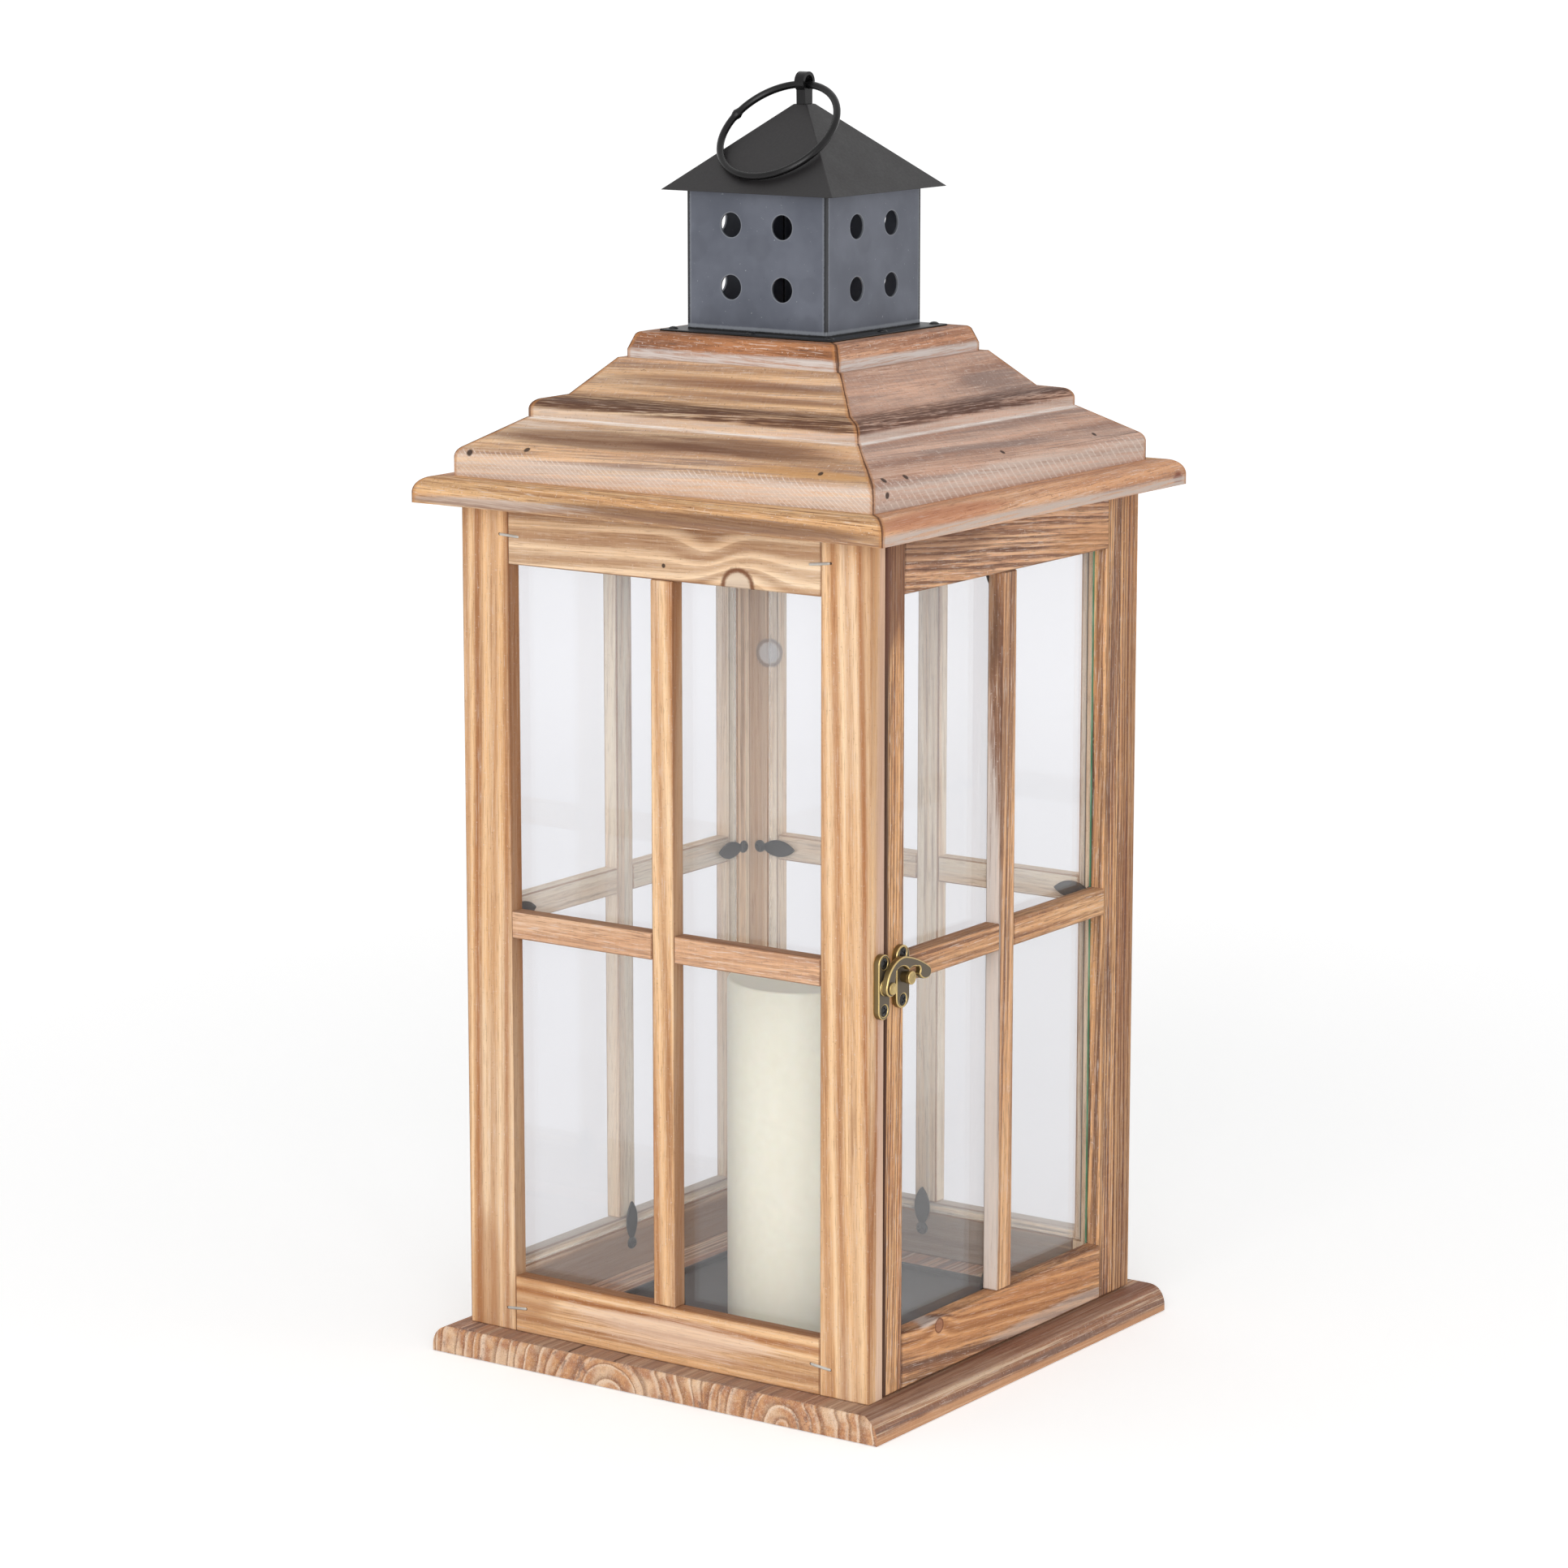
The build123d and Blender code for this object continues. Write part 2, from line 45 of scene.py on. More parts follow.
print("frame loaded")


def tint(r, g, b):
    # 0-255 display colour to linear
    def one(c):
        c = c / 255
        return c / 12.92 if c <= 0.04045 else ((c + 0.055) / 1.055) ** 2.4
    return (one(r), one(g), one(b), 1.0)


class Sock:
    # one output in a tree of nodes, with maths on it

    def __init__(self, tree, out=None):
        self.tree = tree
        self.out = out

    def node(self, kind, settings=None, sockets=None, output=0):
        made = self.tree.nodes.new(kind)
        for key, value in (settings or {}).items():
            setattr(made, key, value)
        for key, value in (sockets or {}).items():
            if isinstance(value, Sock):
                self.tree.links.new(value.out, made.inputs[key])
            else:
                made.inputs[key].default_value = value
        return Sock(self.tree, made.outputs[output])

    def maths(self, operation, *values):
        return self.node("ShaderNodeMath", {"operation": operation}, dict(enumerate(values)))

    def __neg__(self):
        return self.maths("MULTIPLY", self, -1.0)

    def __abs__(self):
        return self.maths("ABSOLUTE", self)

    def vector(self, operation, *values, output=0):
        return self.node("ShaderNodeVectorMath", {"operation": operation}, dict(enumerate(values)), output)

    def parts(self):
        made = self.node("ShaderNodeSeparateXYZ", {}, {0: self})
        return [Sock(self.tree, o) for o in made.out.node.outputs]

    def smooth(self, low, high, first=0.0, last=1.0):
        return self.node("ShaderNodeMapRange", {"interpolation_type": "SMOOTHSTEP"},
                         {0: self, 1: low, 2: high, 3: first, 4: last})

    def noise(self, scale, detail=2.0, rough=0.5):
        # self is a vector, scale one number for each axis
        spread = self.vector("MULTIPLY", self, tuple(scale))
        return self.node("ShaderNodeTexNoise", {}, {"Vector": spread, "Scale": 1.0, "Detail": detail,
                                                    "Roughness": rough}, "Fac")

    def cells(self, scale, output="Distance"):
        spread = self.vector("MULTIPLY", self, tuple(scale))
        return self.node("ShaderNodeTexVoronoi", {}, {"Vector": spread, "Scale": 1.0}, output)

    def near(self, centre, stretch=(1, 1, 1)):
        # distance to a point, self being a position
        off = self.vector("SUBTRACT", self, tuple(centre))
        return off.vector("LENGTH", off.vector("MULTIPLY", off, tuple(stretch)), output="Value")

    def blend(self, *colours):
        # self is the share of the second colour, and colours are sockets or 0-255 triples
        first, second = [c if isinstance(c, Sock) else tint(*c) for c in colours]
        return self.node("ShaderNodeMix", {"data_type": "RGBA", "clamp_factor": True},
                         {0: self, 6: first, 7: second}, 2)

    def attribute(self, name, output="Fac"):
        return self.node("ShaderNodeAttribute", {"attribute_name": name}, {}, output)

    def place(self):
        return self.node("ShaderNodeTexCoord", {}, {}, "Object")


# plain operators between sockets and numbers, either way round
for sign, kind in (("add", "ADD"), ("sub", "SUBTRACT"), ("mul", "MULTIPLY"), ("truediv", "DIVIDE"),
                   ("pow", "POWER")):
    setattr(Sock, "__" + sign + "__", lambda self, other, way=kind: self.maths(way, self, other))
    setattr(Sock, "__r" + sign + "__", lambda self, other, way=kind: self.maths(way, other, self))


def newMaterial(name, constants):
    mat = bpy.data.materials.new(name)
    mat.use_nodes = True
    shader = mat.node_tree.nodes["Principled BSDF"]
    for key, value in constants.items():
        shader.inputs[key].default_value = value
    return mat, shader, Sock(mat.node_tree)


def feed(shader, socket, value):
    value.tree.links.new(value.out, shader.inputs[socket])


def bumpInto(shader, height, strength, distance):
    made = height.node("ShaderNodeBump", {}, {"Strength": strength, "Distance": distance, "Height": height})
    feed(shader, "Normal", made)


# scale along the grain and across it, detail and roughness
woodNoises = {"slow": ((4, 15, 15), 2.0, 0.5), "quick": ((17, 60, 60), 2.0, 0.5),
              "heat": ((5, 55, 55), 3.0, 0.55), "streak": ((2.5, 230, 230), 3.0, 0.6),
              "fibre": ((8, 850, 850), 3.0, 0.65), "hair": ((90, 2000, 2000), 2.0, 0.6),
              "chatter": ((850, 70, 70), 2.0, 0.6)}
gritNoise = ((900, 900, 900), 2.0, 0.6)
holeTint = (44, 28, 20)


def woodMaterial(name, look):
    mat, shader, start = newMaterial(name, {"Specular IOR Level": 0.3})
    grain, edge = start.attribute("grain", "Vector"), start.attribute("edge")
    inner, tone = start.attribute("inner"), start.attribute("tone")
    place = start.place()
    px, py, pz = place.parts()
    gy, gz = grain.parts()[1:]
    slow, quick, heat, streak, fibre, hair, chatter = [grain.noise(*n) for n in woodNoises.values()]
    grit = place.noise(*gritNoise)
    ragged = (streak - 0.5) * 0.9 + (fibre - 0.5) * 0.7

    # growth rings, bent round the knots
    across = gy + (slow - 0.5) * look["wander"] + (quick - 0.5) * (look["wander"] * look["waver"])
    deep = gz + (slow - 0.5) * (look["wander"] * 0.8)
    ring = (across * across + deep * deep) ** 0.5 / look["ring"]
    for centre, size, lift in look.get("swirls", []):
        away = place.near(centre, [1 / w for w in size])
        ring = ring + lift * (2.718 ** (-(away * away)))
    uneven = ring.node("ShaderNodeTexNoise", {"noise_dimensions": "1D"},
                       {"W": ring * 0.45, "Scale": 1.0, "Detail": 1.0}, "Fac")
    ring = ring + uneven * look["uneven"]
    phase = ring.maths("FRACT", ring)
    hump = phase.smooth(0.04, look["peak"]) * phase.smooth(0.98, look["peak"])
    thin = phase.smooth(look["lineFrom"], 0.86) * phase.smooth(0.99, 0.92)
    late = hump * (1.0 - look["line"]) + thin * look["line"]
    strength = ring.node("ShaderNodeTexNoise", {"noise_dimensions": "1D"},
                         {"W": ring.maths("FLOOR", ring) * 3.7, "Scale": 1.0, "Detail": 0.0}, "Fac")

    # colour, from the bare wood to what was burnt, rubbed and washed on, with painted light and shade where
    # marked below
    # inner faces take the inner colours, bare wood painted lighter in place of the light that reaches them
    colour = streak.smooth(0.38, 0.62).blend(inner.blend(look["light"], look["innerLight"]),
                                             inner.blend(look["mid"], look["innerMid"]))
    colour = (heat.smooth(0.5, 0.36) * look["paleShare"]).blend(colour, look["pale"])
    depth = look["ringDepth"] * (1.0 - inner * 0.75)
    colour = (late * depth * (0.25 + strength * 1.3)).blend(colour, look["dark"])
    # painted shadow line beside each ring's ridge, used on the end grain
    colour = (phase.smooth(0.3, 0.05) * look["groove"]).blend(colour, look["burnt"])
    char = heat + ragged * 0.7 + (late - 0.4) * 0.12
    charred = char.smooth(look["charFrom"], look["charFrom"] + 0.16)
    colour = (charred * look["burn"]).blend(colour, look["burnt"])
    colour = (fibre.smooth(0.52, 0.64) * look["fibre"]).blend(colour, look["dark"])
    colour = (fibre.smooth(0.47, 0.36) * look["fibre"] * 0.8).blend(colour, look["pale"])
    colour = (hair.smooth(0.55, 0.66) * look["flecks"]).blend(colour, look["burnt"])
    colour = (hair.smooth(0.42, 0.32) * look["flecks"]).blend(colour, look["filmTint"])
    colour = (chatter.smooth(0.55, 0.72) * look["chatter"]).blend(colour, look["pale"])
    colour = (grit.smooth(0.63, 0.72) * look["specks"]).blend(colour, look["filmTint"])
    colour = (grit.smooth(0.36, 0.27) * look["specks"]).blend(colour, look["burnt"])
    if look["film"] > 0:
        film = (heat * 0.3 + chatter * 0.1 + streak * 0.25 + fibre * 0.2 + hair * 0.15).smooth(0.45, 0.58)
        colour = (film * look["film"]).blend(colour, look["filmTint"])
    for centre, size, shade, share in look.get("stains", []):
        away = place.near(centre, [1 / w for w in size])
        away = away + (heat - 0.5) + ragged * 1.5 + (hair - 0.5) * 0.6
        colour = (away.smooth(1.2, 0.6) * share).blend(colour, shade)
    for low, high, soft, shade, share in look.get("bands", []):
        level = pz + ragged * soft * 2.0 + (heat - 0.5) * soft * 3.0
        mask = level.smooth(low - soft, low + soft) * level.smooth(high + soft, high - soft)
        broken = (fibre * 0.6 + hair * 0.4).smooth(0.40, 0.54)
        colour = (mask * (0.3 + broken * 0.7) * share).blend(colour, shade)
    for axis, pitch, slant, low, high, share in look.get("saw", []):
        wave = (pz * slant - (px, py)[axis]) / pitch + (slow - 0.5) * 3.0 + (grit - 0.5) * 0.3
        wave = wave.maths("FRACT", wave)
        level = pz + (quick - 0.5) * 0.012
        mark = wave.smooth(0.0, 0.1) * wave.smooth(0.36, 0.14)
        mark = mark * (quick * 0.4 + grit * 0.6).smooth(0.36, 0.56)
        mark = mark * level.smooth(low - 0.001, low) * level.smooth(high + 0.001, high - 0.001)
        colour = (mark * share).blend(colour, look["filmTint"])
    for centre, size in look.get("knots", []):
        away = place.near(centre) / size + (quick - 0.5) * 0.35 + (grit - 0.5) * 0.12
        colour = (away.smooth(0.95, 0.7) * 0.75).blend(colour, look["knotInside"])
        colour = (away.smooth(0.72, 0.92) * away.smooth(1.16, 0.98) * 0.9).blend(colour, look["knotRim"])
    if look.get("hip"):
        side = abs(abs(px) - abs(py)) + (heat - 0.5) * 0.004 + (grit - 0.5) * 0.0008
        colour = (side.smooth(0.0024, 0.0010) * 0.55).blend(colour, look["hip"])
        colour = (side.smooth(0.0008, 0.0003) * 0.7).blend(colour, look["burnt"])
    for spot, size in look.get("holes", []):
        colour = (place.near(spot).smooth(size * 1.25, size * 0.7) * 0.92).blend(colour, holeTint)
    worn = (edge * (0.2 + heat * 1.1)).smooth(0.45, 0.95)
    colour = (worn * look["edge"]).blend(colour, look["edgeTint"])
    # a lower tone pulls towards burnt: each board's own random tone, plus painted shade on faces that look up
    # or to the front
    colour = ((1.0 - tone) * 0.6).blend(colour, look["burnt"])
    feed(shader, "Base Color", colour)
    feed(shader, "Roughness", 0.5 + fibre * 0.3)
    bumpInto(shader, late * -0.4 + fibre * 0.8 + hair * 0.3 + chatter * 0.25, 0.5, 0.0005)
    return mat


def woods(**looks):
    return [woodMaterial(name, look) for name, look in looks.items()]


def lookOf(**changes):
    # ring is a growth ring's width, line its share of thin lines, wander how far the rings stray
    look = {
        "light": (246, 212, 172), "mid": (226, 182, 136), "dark": (152, 100, 60),
        "burnt": (118, 74, 44), "pale": (250, 226, 194), "edgeTint": (126, 82, 50),
        "innerLight": (252, 232, 208), "innerMid": (240, 212, 182), "filmTint": (232, 218, 208),
        "knotInside": (206, 172, 140), "knotRim": (112, 62, 40),
        "ring": 0.0036, "ringDepth": 0.75, "peak": 0.55, "line": 0.45, "lineFrom": 0.35, "uneven": 1.3,
        "wander": 0.007, "waver": 0.2, "groove": 0.0, "paleShare": 0.5, "burn": 0.45, "charFrom": 0.56,
        "fibre": 0.3, "flecks": 0.35, "specks": 0.3, "chatter": 0.04, "edge": 0.55, "film": 0.0,
    }
    look.update(changes)
    return look


def merged(node):
    work = bmesh.new()
    work.from_mesh(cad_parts[node].data)
    bmesh.ops.remove_doubles(work, verts=work.verts, dist=2e-6)
    bmesh.ops.dissolve_limit(work, angle_limit=math.radians(0.8), verts=work.verts, edges=work.edges)
    bmesh.ops.recalc_face_normals(work, faces=work.faces)
    return work


def islandsOf(work):
    seen, groups = set(), []
    for first in work.verts:
        if first in seen:
            continue
        group, todo = [], [first]
        seen.add(first)
        while todo:
            v = todo.pop()
            group.append(v)
            for e in v.link_edges:
                w = e.other_vert(v)
                if w not in seen:
                    seen.add(w)
                    todo.append(w)
        groups.append(group)
    return groups


def softened(work, width, segments, least, angle=0.45, clamp=True):
    # rounds the long outer edges, and returns the new faces
    edges = [e for e in work.edges if len(e.link_faces) == 2 and e.is_convex
             and e.calc_length() > least and e.calc_face_angle(0.0) > angle]
    made = bmesh.ops.bevel(work, geom=edges, offset=width, offset_type="OFFSET", segments=segments,
                           profile=0.5, affect="EDGES", clamp_overlap=clamp)
    return set(made["faces"])


def linked(name, data):
    obj = bpy.data.objects.new(name, data)
    bpy.context.scene.collection.objects.link(obj)
    return obj


def flattened(obj):
    # what the modifiers make of the mesh becomes its mesh
    flat = bpy.data.meshes.new_from_object(obj.evaluated_get(bpy.context.evaluated_depsgraph_get()))
    obj.modifiers.clear()
    obj.data = flat
    flat.name = obj.name
    return flat


def joined(obj, body, nodes):
    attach(obj, body)
    if nodes:
        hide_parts(*nodes)
    return obj


def placed(name, work, mats, body, nodes, sharp=32):
    mesh = bpy.data.meshes.new(name)
    work.to_mesh(mesh)
    work.free()
    for m in mats:
        mesh.materials.append(m)
    mesh.shade_smooth()
    mesh.set_sharp_from_angle(angle=math.radians(sharp))
    obj = linked(name, mesh)
    even = obj.modifiers.new("even", "WEIGHTED_NORMAL")
    even.keep_sharp = True
    even.weight = 80
    flattened(obj)
    return joined(obj, body, nodes)


def boxOf(points):
    low = Vector([min(p[i] for p in points) for i in range(3)])
    high = Vector([max(p[i] for p in points) for i in range(3)])
    return low, high


def halves(work, level):
    # cuts a closed board at one y level into two closed boards
    both = bmesh.new()
    for way in (1, -1):
        side = work.copy()
        everything = list(side.verts) + list(side.edges) + list(side.faces)
        cut = bmesh.ops.bisect_plane(side, geom=everything, plane_co=(0, level, 0), plane_no=(0, way, 0),
                                     clear_outer=True)
        rim = [e for e in cut["geom_cut"] if isinstance(e, bmesh.types.BMEdge)]
        bmesh.ops.edgeloop_fill(side, edges=rim)
        mesh = bpy.data.meshes.new("half")
        side.to_mesh(mesh)
        side.free()
        both.from_mesh(mesh)
        bpy.data.meshes.remove(mesh)
    work.free()
    bmesh.ops.recalc_face_normals(both, faces=both.faces)
    return both


# a board's faces told apart by how far out they look, or by the share of their normal along an axis
facing = {"outside": 0.09, "inside": -0.08, "jamb": 0.085, "straight": 0.9, "end": 0.6}
longEdge = 0.004


def boardPiece(node, body, mats, pick, bevel, along=None, split=None, endMat=None, upShade=0.0,
               frontShade=False, bare=False):
    # pick gives each board (material, pith offset, slope, tone) from its middle and its grain axis
    # one share paints shade on the faces that look up, and a flag paints it on the sides facing the front too
    # bare leaves only the outermost faces stained, and the other faces take the inner colours, bare wood
    # painted lighter in place of the light inside
    work = merged(node)
    if split is not None:
        work = halves(work, split)
    grainLayer = work.verts.layers.float_vector.new("grain")
    edgeLayer = work.faces.layers.float.new("edge")
    innerLayer = work.faces.layers.float.new("inner")
    toneAndShadeLayer = work.faces.layers.float.new("tone")
    fresh = softened(work, bevel, 2, longEdge)
    work.normal_update()
    for group in islandsOf(work):
        low, high = boxOf([v.co for v in group])
        size, middle = high - low, (high + low) / 2
        order = sorted(range(3), key=lambda i: -size[i])
        if along is not None:
            order = [along] + [i for i in order if i != along]
        mat, pith, slope, tone = pick(middle, order[0])
        shift = rng.uniform(0.0, 40.0)
        for v in group:
            off = v.co - middle
            a = off[order[0]]
            v[grainLayer] = Vector((a + shift, off[order[1]] + pith[0] + slope[0] * a,
                                    off[order[2]] + pith[1] + slope[1] * a))
        for f in {f for v in group for f in v.link_faces}:
            f.material_index = mat
            if endMat is not None and abs(f.normal[order[0]]) > facing["end"]:
                f.material_index = endMat
            f[edgeLayer] = 1.0 if f in fresh else 0.0
            spot = f.calc_center_median()
            outward = [f.normal[i] * spot[i] for i in (0, 1)]
            paler = max(outward) < facing["outside"] if bare else min(outward) < facing["inside"]
            f[innerLayer] = float(f not in fresh and paler)
            # painted shade: faces that look up, and with the flag the sides facing the front, get a lower
            # tone
            away = f.normal.z > facing["straight"] or (
                frontShade and f.normal.y < -facing["straight"] and abs(spot.y) < facing["jamb"])
            f[toneAndShadeLayer] = tone - (upShade if away else 0.0)
    return placed(node + "_boards", work, mats, body, [node])


def anyPith():
    side = rng.choice((-1, 1))
    return (side * rng.uniform(0.03, 0.08), rng.uniform(-0.03, 0.03))


def anySlope():
    return (rng.uniform(-0.02, 0.02), rng.uniform(-0.03, 0.03))


# left panel, golden with broad soft stripes
leftPanel = {
    "tone": (0.92, 1.0), "bevel": 0.0006, "upShade": 1.0, "face": -0.1, "topRail": 0.3, "bars": 0.1,
    "knot": (-0.037, 0.3335), "knotSize": 0.0076, "dip": (-0.0242, 0.3461), "smallKnot": (-0.0013, 0.3394),
    "smallKnotSize": 0.0009, "stapleHole": 0.0006, "topPith": (0.05, 0.01), "topSlope": (0.03, 0.0),
    "staples": [((0.0805, 0.3455), (0.0710, 0.3450)), ((-0.0704, 0.3458), (-0.0811, 0.3470)),
                ((0.0804, 0.0209), (0.0710, 0.0218)), ((-0.0722, 0.0240), (-0.0816, 0.0230))]}
leftKnot, leftDip, leftSmallKnot = [
    (leftPanel["face"],) + leftPanel[spot] for spot in ("knot", "dip", "smallKnot")]
leftLook = lookOf(
    light=(252, 213, 168), mid=(238, 189, 138), dark=(168, 104, 56), burnt=(126, 82, 54),
    ringDepth=0.85, ring=0.0066, line=0.15, peak=0.5, uneven=0.9, burn=0.3, wander=0.0045, fibre=0.22,
    flecks=0.3, specks=0.4,
    stains=[((-0.092, -0.1005, 0.184), (0.0035, 0.002, 0.5), (226, 196, 178), 0.65),
            ((-0.1, -0.005, 0.024), (0.02, 0.055, 0.008), (242, 214, 194), 0.5),
            ((-0.1, 0.068, 0.026), (0.02, 0.012, 0.012), (178, 122, 76), 0.5),
            ((-0.1, 0.092, 0.03), (0.02, 0.008, 0.03), (170, 112, 66), 0.5),
            ((-0.1, -0.098, 0.30), (0.02, 0.0035, 0.08), (160, 104, 60), 0.4)],
    holes=[((leftPanel["face"], y, z), leftPanel["stapleHole"])
           for ends in leftPanel["staples"] for y, z in ends])
leftTopLook = lookOf(
    light=(246, 214, 178), mid=(232, 194, 154), dark=(146, 96, 58),
    knotInside=(214, 196, 176), knotRim=(112, 66, 40),
    ringDepth=0.9, ring=0.0075, wander=0.008, burn=0.25, fibre=0.22, flecks=0.3,
    swirls=[(leftKnot, (0.03, 0.017, 0.0125), -1.7), (leftDip, (0.03, 0.014, 0.010), 0.9)],
    knots=[(leftKnot, leftPanel["knotSize"])], holes=[(leftSmallKnot, leftPanel["smallKnotSize"])])
leftBarLook = lookOf(
    light=(232, 184, 144), mid=(214, 162, 122), dark=(156, 104, 70), pale=(242, 206, 174),
    ringDepth=0.6, ring=0.003, burn=0.35, fibre=0.3, flecks=0.5, film=0.12)
leftMats = woods(pine_left=leftLook, pine_left_top=leftTopLook, pine_left_bars=leftBarLook)


def pickLeft(middle, axis):
    if axis == 1 and middle.z > leftPanel["topRail"]:
        return 1, leftPanel["topPith"], leftPanel["topSlope"], 1.0
    if axis == 1 and middle.z > leftPanel["bars"]:
        return 2, anyPith(), anySlope(), 1.0
    return 0, anyPith(), anySlope(), rng.uniform(*leftPanel["tone"])


# with painted shade on the faces that look up and on the sides facing the front
for part in ("left_stiles", "left_rails", "left_glazing_bars"):
    boardPiece(part, "lantern_body", leftMats, pickLeft, leftPanel["bevel"], upShade=leftPanel["upShade"],
               frontShade=True)
print("left panel")

# door, redder, fine lines but for the low rail, scorched along the latch side, with painted shadow under the
# eave at the top left
doorPanel = {"tone": (0.94, 1.0), "bevel": 0.0006, "upShade": 0.4, "knot": (-0.0489, -0.1, 0.0318),
             "knotSize": 0.0029, "middle": 0.1844, "squash": 0.55, "frame": 0.07, "topRail": 0.2,
             "railPith": (0.034, 0.012), "railSlope": (0.09, 0.03)}
scorch = (62, 38, 28)
rubbed = (206, 190, 180)
doorTones = dict(
    light=(242, 186, 132), mid=(206, 143, 94), dark=(94, 50, 28), burnt=(80, 44, 30),
    pale=(248, 202, 154), edgeTint=(78, 46, 32), burn=0.5, film=0.06, wander=0.006, fibre=0.4,
    flecks=0.5, specks=0.4)
stileLook = lookOf(
    ring=0.0021, ringDepth=0.95, line=0.7, **dict(doorTones, fibre=0.55),
    stains=[((-0.0900, -0.1, 0.184), (0.0019, 0.02, 0.4), scorch, 0.95),
            # the dark patch at the top left is painted shadow under the eave
            ((-0.080, -0.1, 0.347), (0.03, 0.02, 0.032), (104, 64, 50), 0.75),
            ((0.094, -0.1, 0.16), (0.006, 0.03, 0.22), (112, 68, 48), 0.45)])
lowRailLook = lookOf(
    ring=0.0048, ringDepth=1.0, line=0.3, peak=0.5, **doorTones,
    knotInside=(158, 108, 84), knotRim=(118, 70, 52),
    swirls=[(doorPanel["knot"], (0.009, 0.02, 0.006), -1.0)],
    knots=[(doorPanel["knot"], doorPanel["knotSize"])],
    stains=[((0.0, -0.1, 0.026), (0.09, 0.02, 0.010), (206, 134, 78), 0.4),
            ((0.04, -0.1, 0.0150), (0.06, 0.02, 0.003), rubbed, 0.5),
            ((-0.056, -0.1, 0.0353), (0.007, 0.012, 0.002), rubbed, 0.8)])
topRailLook = lookOf(
    ring=0.0026, ringDepth=0.95, line=0.65,
    **dict(doorTones, light=(250, 200, 160), mid=(218, 160, 120), fibre=0.55),
    # the darker top of the rail at the left is painted shadow under the eave
    stains=[((-0.05, -0.1, 0.352), (0.05, 0.02, 0.008), (96, 60, 44), 0.5),
            ((0.06, -0.1, 0.340), (0.03, 0.03, 0.008), (214, 154, 100), 0.4)])
barLook = lookOf(
    ring=0.0034, ringDepth=0.7,
    **dict(doorTones, light=(234, 180, 132), mid=(208, 150, 104), dark=(112, 66, 40)),
    stains=[((-0.0054, -0.0955, 0.14), (0.0008, 0.008, 0.17), (216, 206, 198), 0.85),
            ((-0.0054, -0.0955, 0.31), (0.002, 0.0045, 0.03), scorch, 0.5)])
doorMats = woods(pine_door_stiles=stileLook, pine_door_low_rail=lowRailLook, pine_door_bars=barLook,
                 pine_door_top_rail=topRailLook)


def pickDoor(middle, axis):
    high = abs(middle.z - doorPanel["middle"]) * doorPanel["squash"]
    outer = max(abs(middle.x), high) > doorPanel["frame"]
    tone = rng.uniform(*doorPanel["tone"])
    if outer and axis == 0:
        rail = 3 if middle.z > doorPanel["topRail"] else 1
        return rail, doorPanel["railPith"], doorPanel["railSlope"], tone
    return (0 if outer else 2), anyPith(), anySlope(), tone


# with painted shade on the faces that look up
for part in ("door_stiles", "door_rails", "door_glazing_bars"):
    boardPiece(part, "door", doorMats, pickDoor, doorPanel["bevel"], upShade=doorPanel["upShade"])
print("door")

# right and back panels, bare inside and painted lighter there in place of light, with a pale sill on the low
# rails
otherPanels = {"tone": (0.9, 1.0), "bevel": 0.0006, "knot": (0.0912, 0.0805, 0.2708), "knotSize": 0.0062,
               "lowRail": 0.1}
sill = (206, 196, 186)
rightLook = lookOf(
    light=(228, 188, 146), mid=(208, 162, 118), innerLight=(255, 238, 210),
    innerMid=(250, 218, 180), knotInside=(206, 208, 210), knotRim=(140, 124, 112),
    knots=[(otherPanels["knot"], otherPanels["knotSize"])],
    stains=[((0.09, 0.0875, 0.184), (0.003, 0.0065, 0.5), (150, 110, 80), 0.6)])
backLook = lookOf(light=(222, 182, 142), mid=(202, 156, 116), innerLight=(255, 240, 212),
                  innerMid=(250, 218, 182))
rightSillLook = dict(rightLook, stains=[((0.09, 0.0, 0.020), (0.004, 0.2, 0.016), (112, 96, 86), 0.85),
                                        ((0.095, 0.0, 0.0355), (0.012, 0.2, 0.0014), sill, 0.8)])
backSillLook = dict(backLook, stains=[((0.0, 0.09, 0.020), (0.2, 0.004, 0.016), (116, 82, 62), 0.8),
                                      ((0.0, 0.095, 0.0355), (0.2, 0.012, 0.0014), sill, 0.8)])
otherMats = {"right": woods(pine_right=rightLook, pine_right_sill=rightSillLook),
             "back": woods(pine_back=backLook, pine_back_sill=backSillLook)}


def pickOther(middle, axis):
    lowRail = axis != 2 and middle.z < otherPanels["lowRail"]
    return int(lowRail), anyPith(), anySlope(), rng.uniform(*otherPanels["tone"])


for side, sideMats in otherMats.items():
    for part in ("stiles", "rails", "glazing_bars"):
        boardPiece(side + "_" + part, "lantern_body", sideMats, pickOther, otherPanels["bevel"], bare=True)
print("right and back panels")

# roof rings, golden on the left, redder on the door side
roof = {"bevel": 0.0005, "hip": (188, 128, 74), "tone": (0.94, 1.0)}
washed = (226, 210, 198)
leftHoles = [((-0.1015, 0.0942, 0.3777), 0.0015), ((-0.0985, 0.0673, 0.3805), 0.0014),
             ((-0.0975, -0.0745, 0.3812), 0.0012)]
frontHoles = [((-0.0912, -0.0995, 0.3796), 0.0014), ((-0.0764, -0.0997, 0.3793), 0.0014),
              ((-0.0923, -0.1017, 0.3741), 0.0014), ((-0.0018, -0.097, 0.3812), 0.0012),
              ((0.0687, -0.097, 0.3815), 0.0012)]
tierBands = [(0.3679, 0.3776, 0.0014, washed, 0.62), (0.3906, 0.3916, 0.0004, (246, 240, 234), 0.9),
             (0.3916, 0.3946, 0.0008, washed, 0.5), (0.3950, 0.3999, 0.0009, (78, 44, 28), 0.9)]
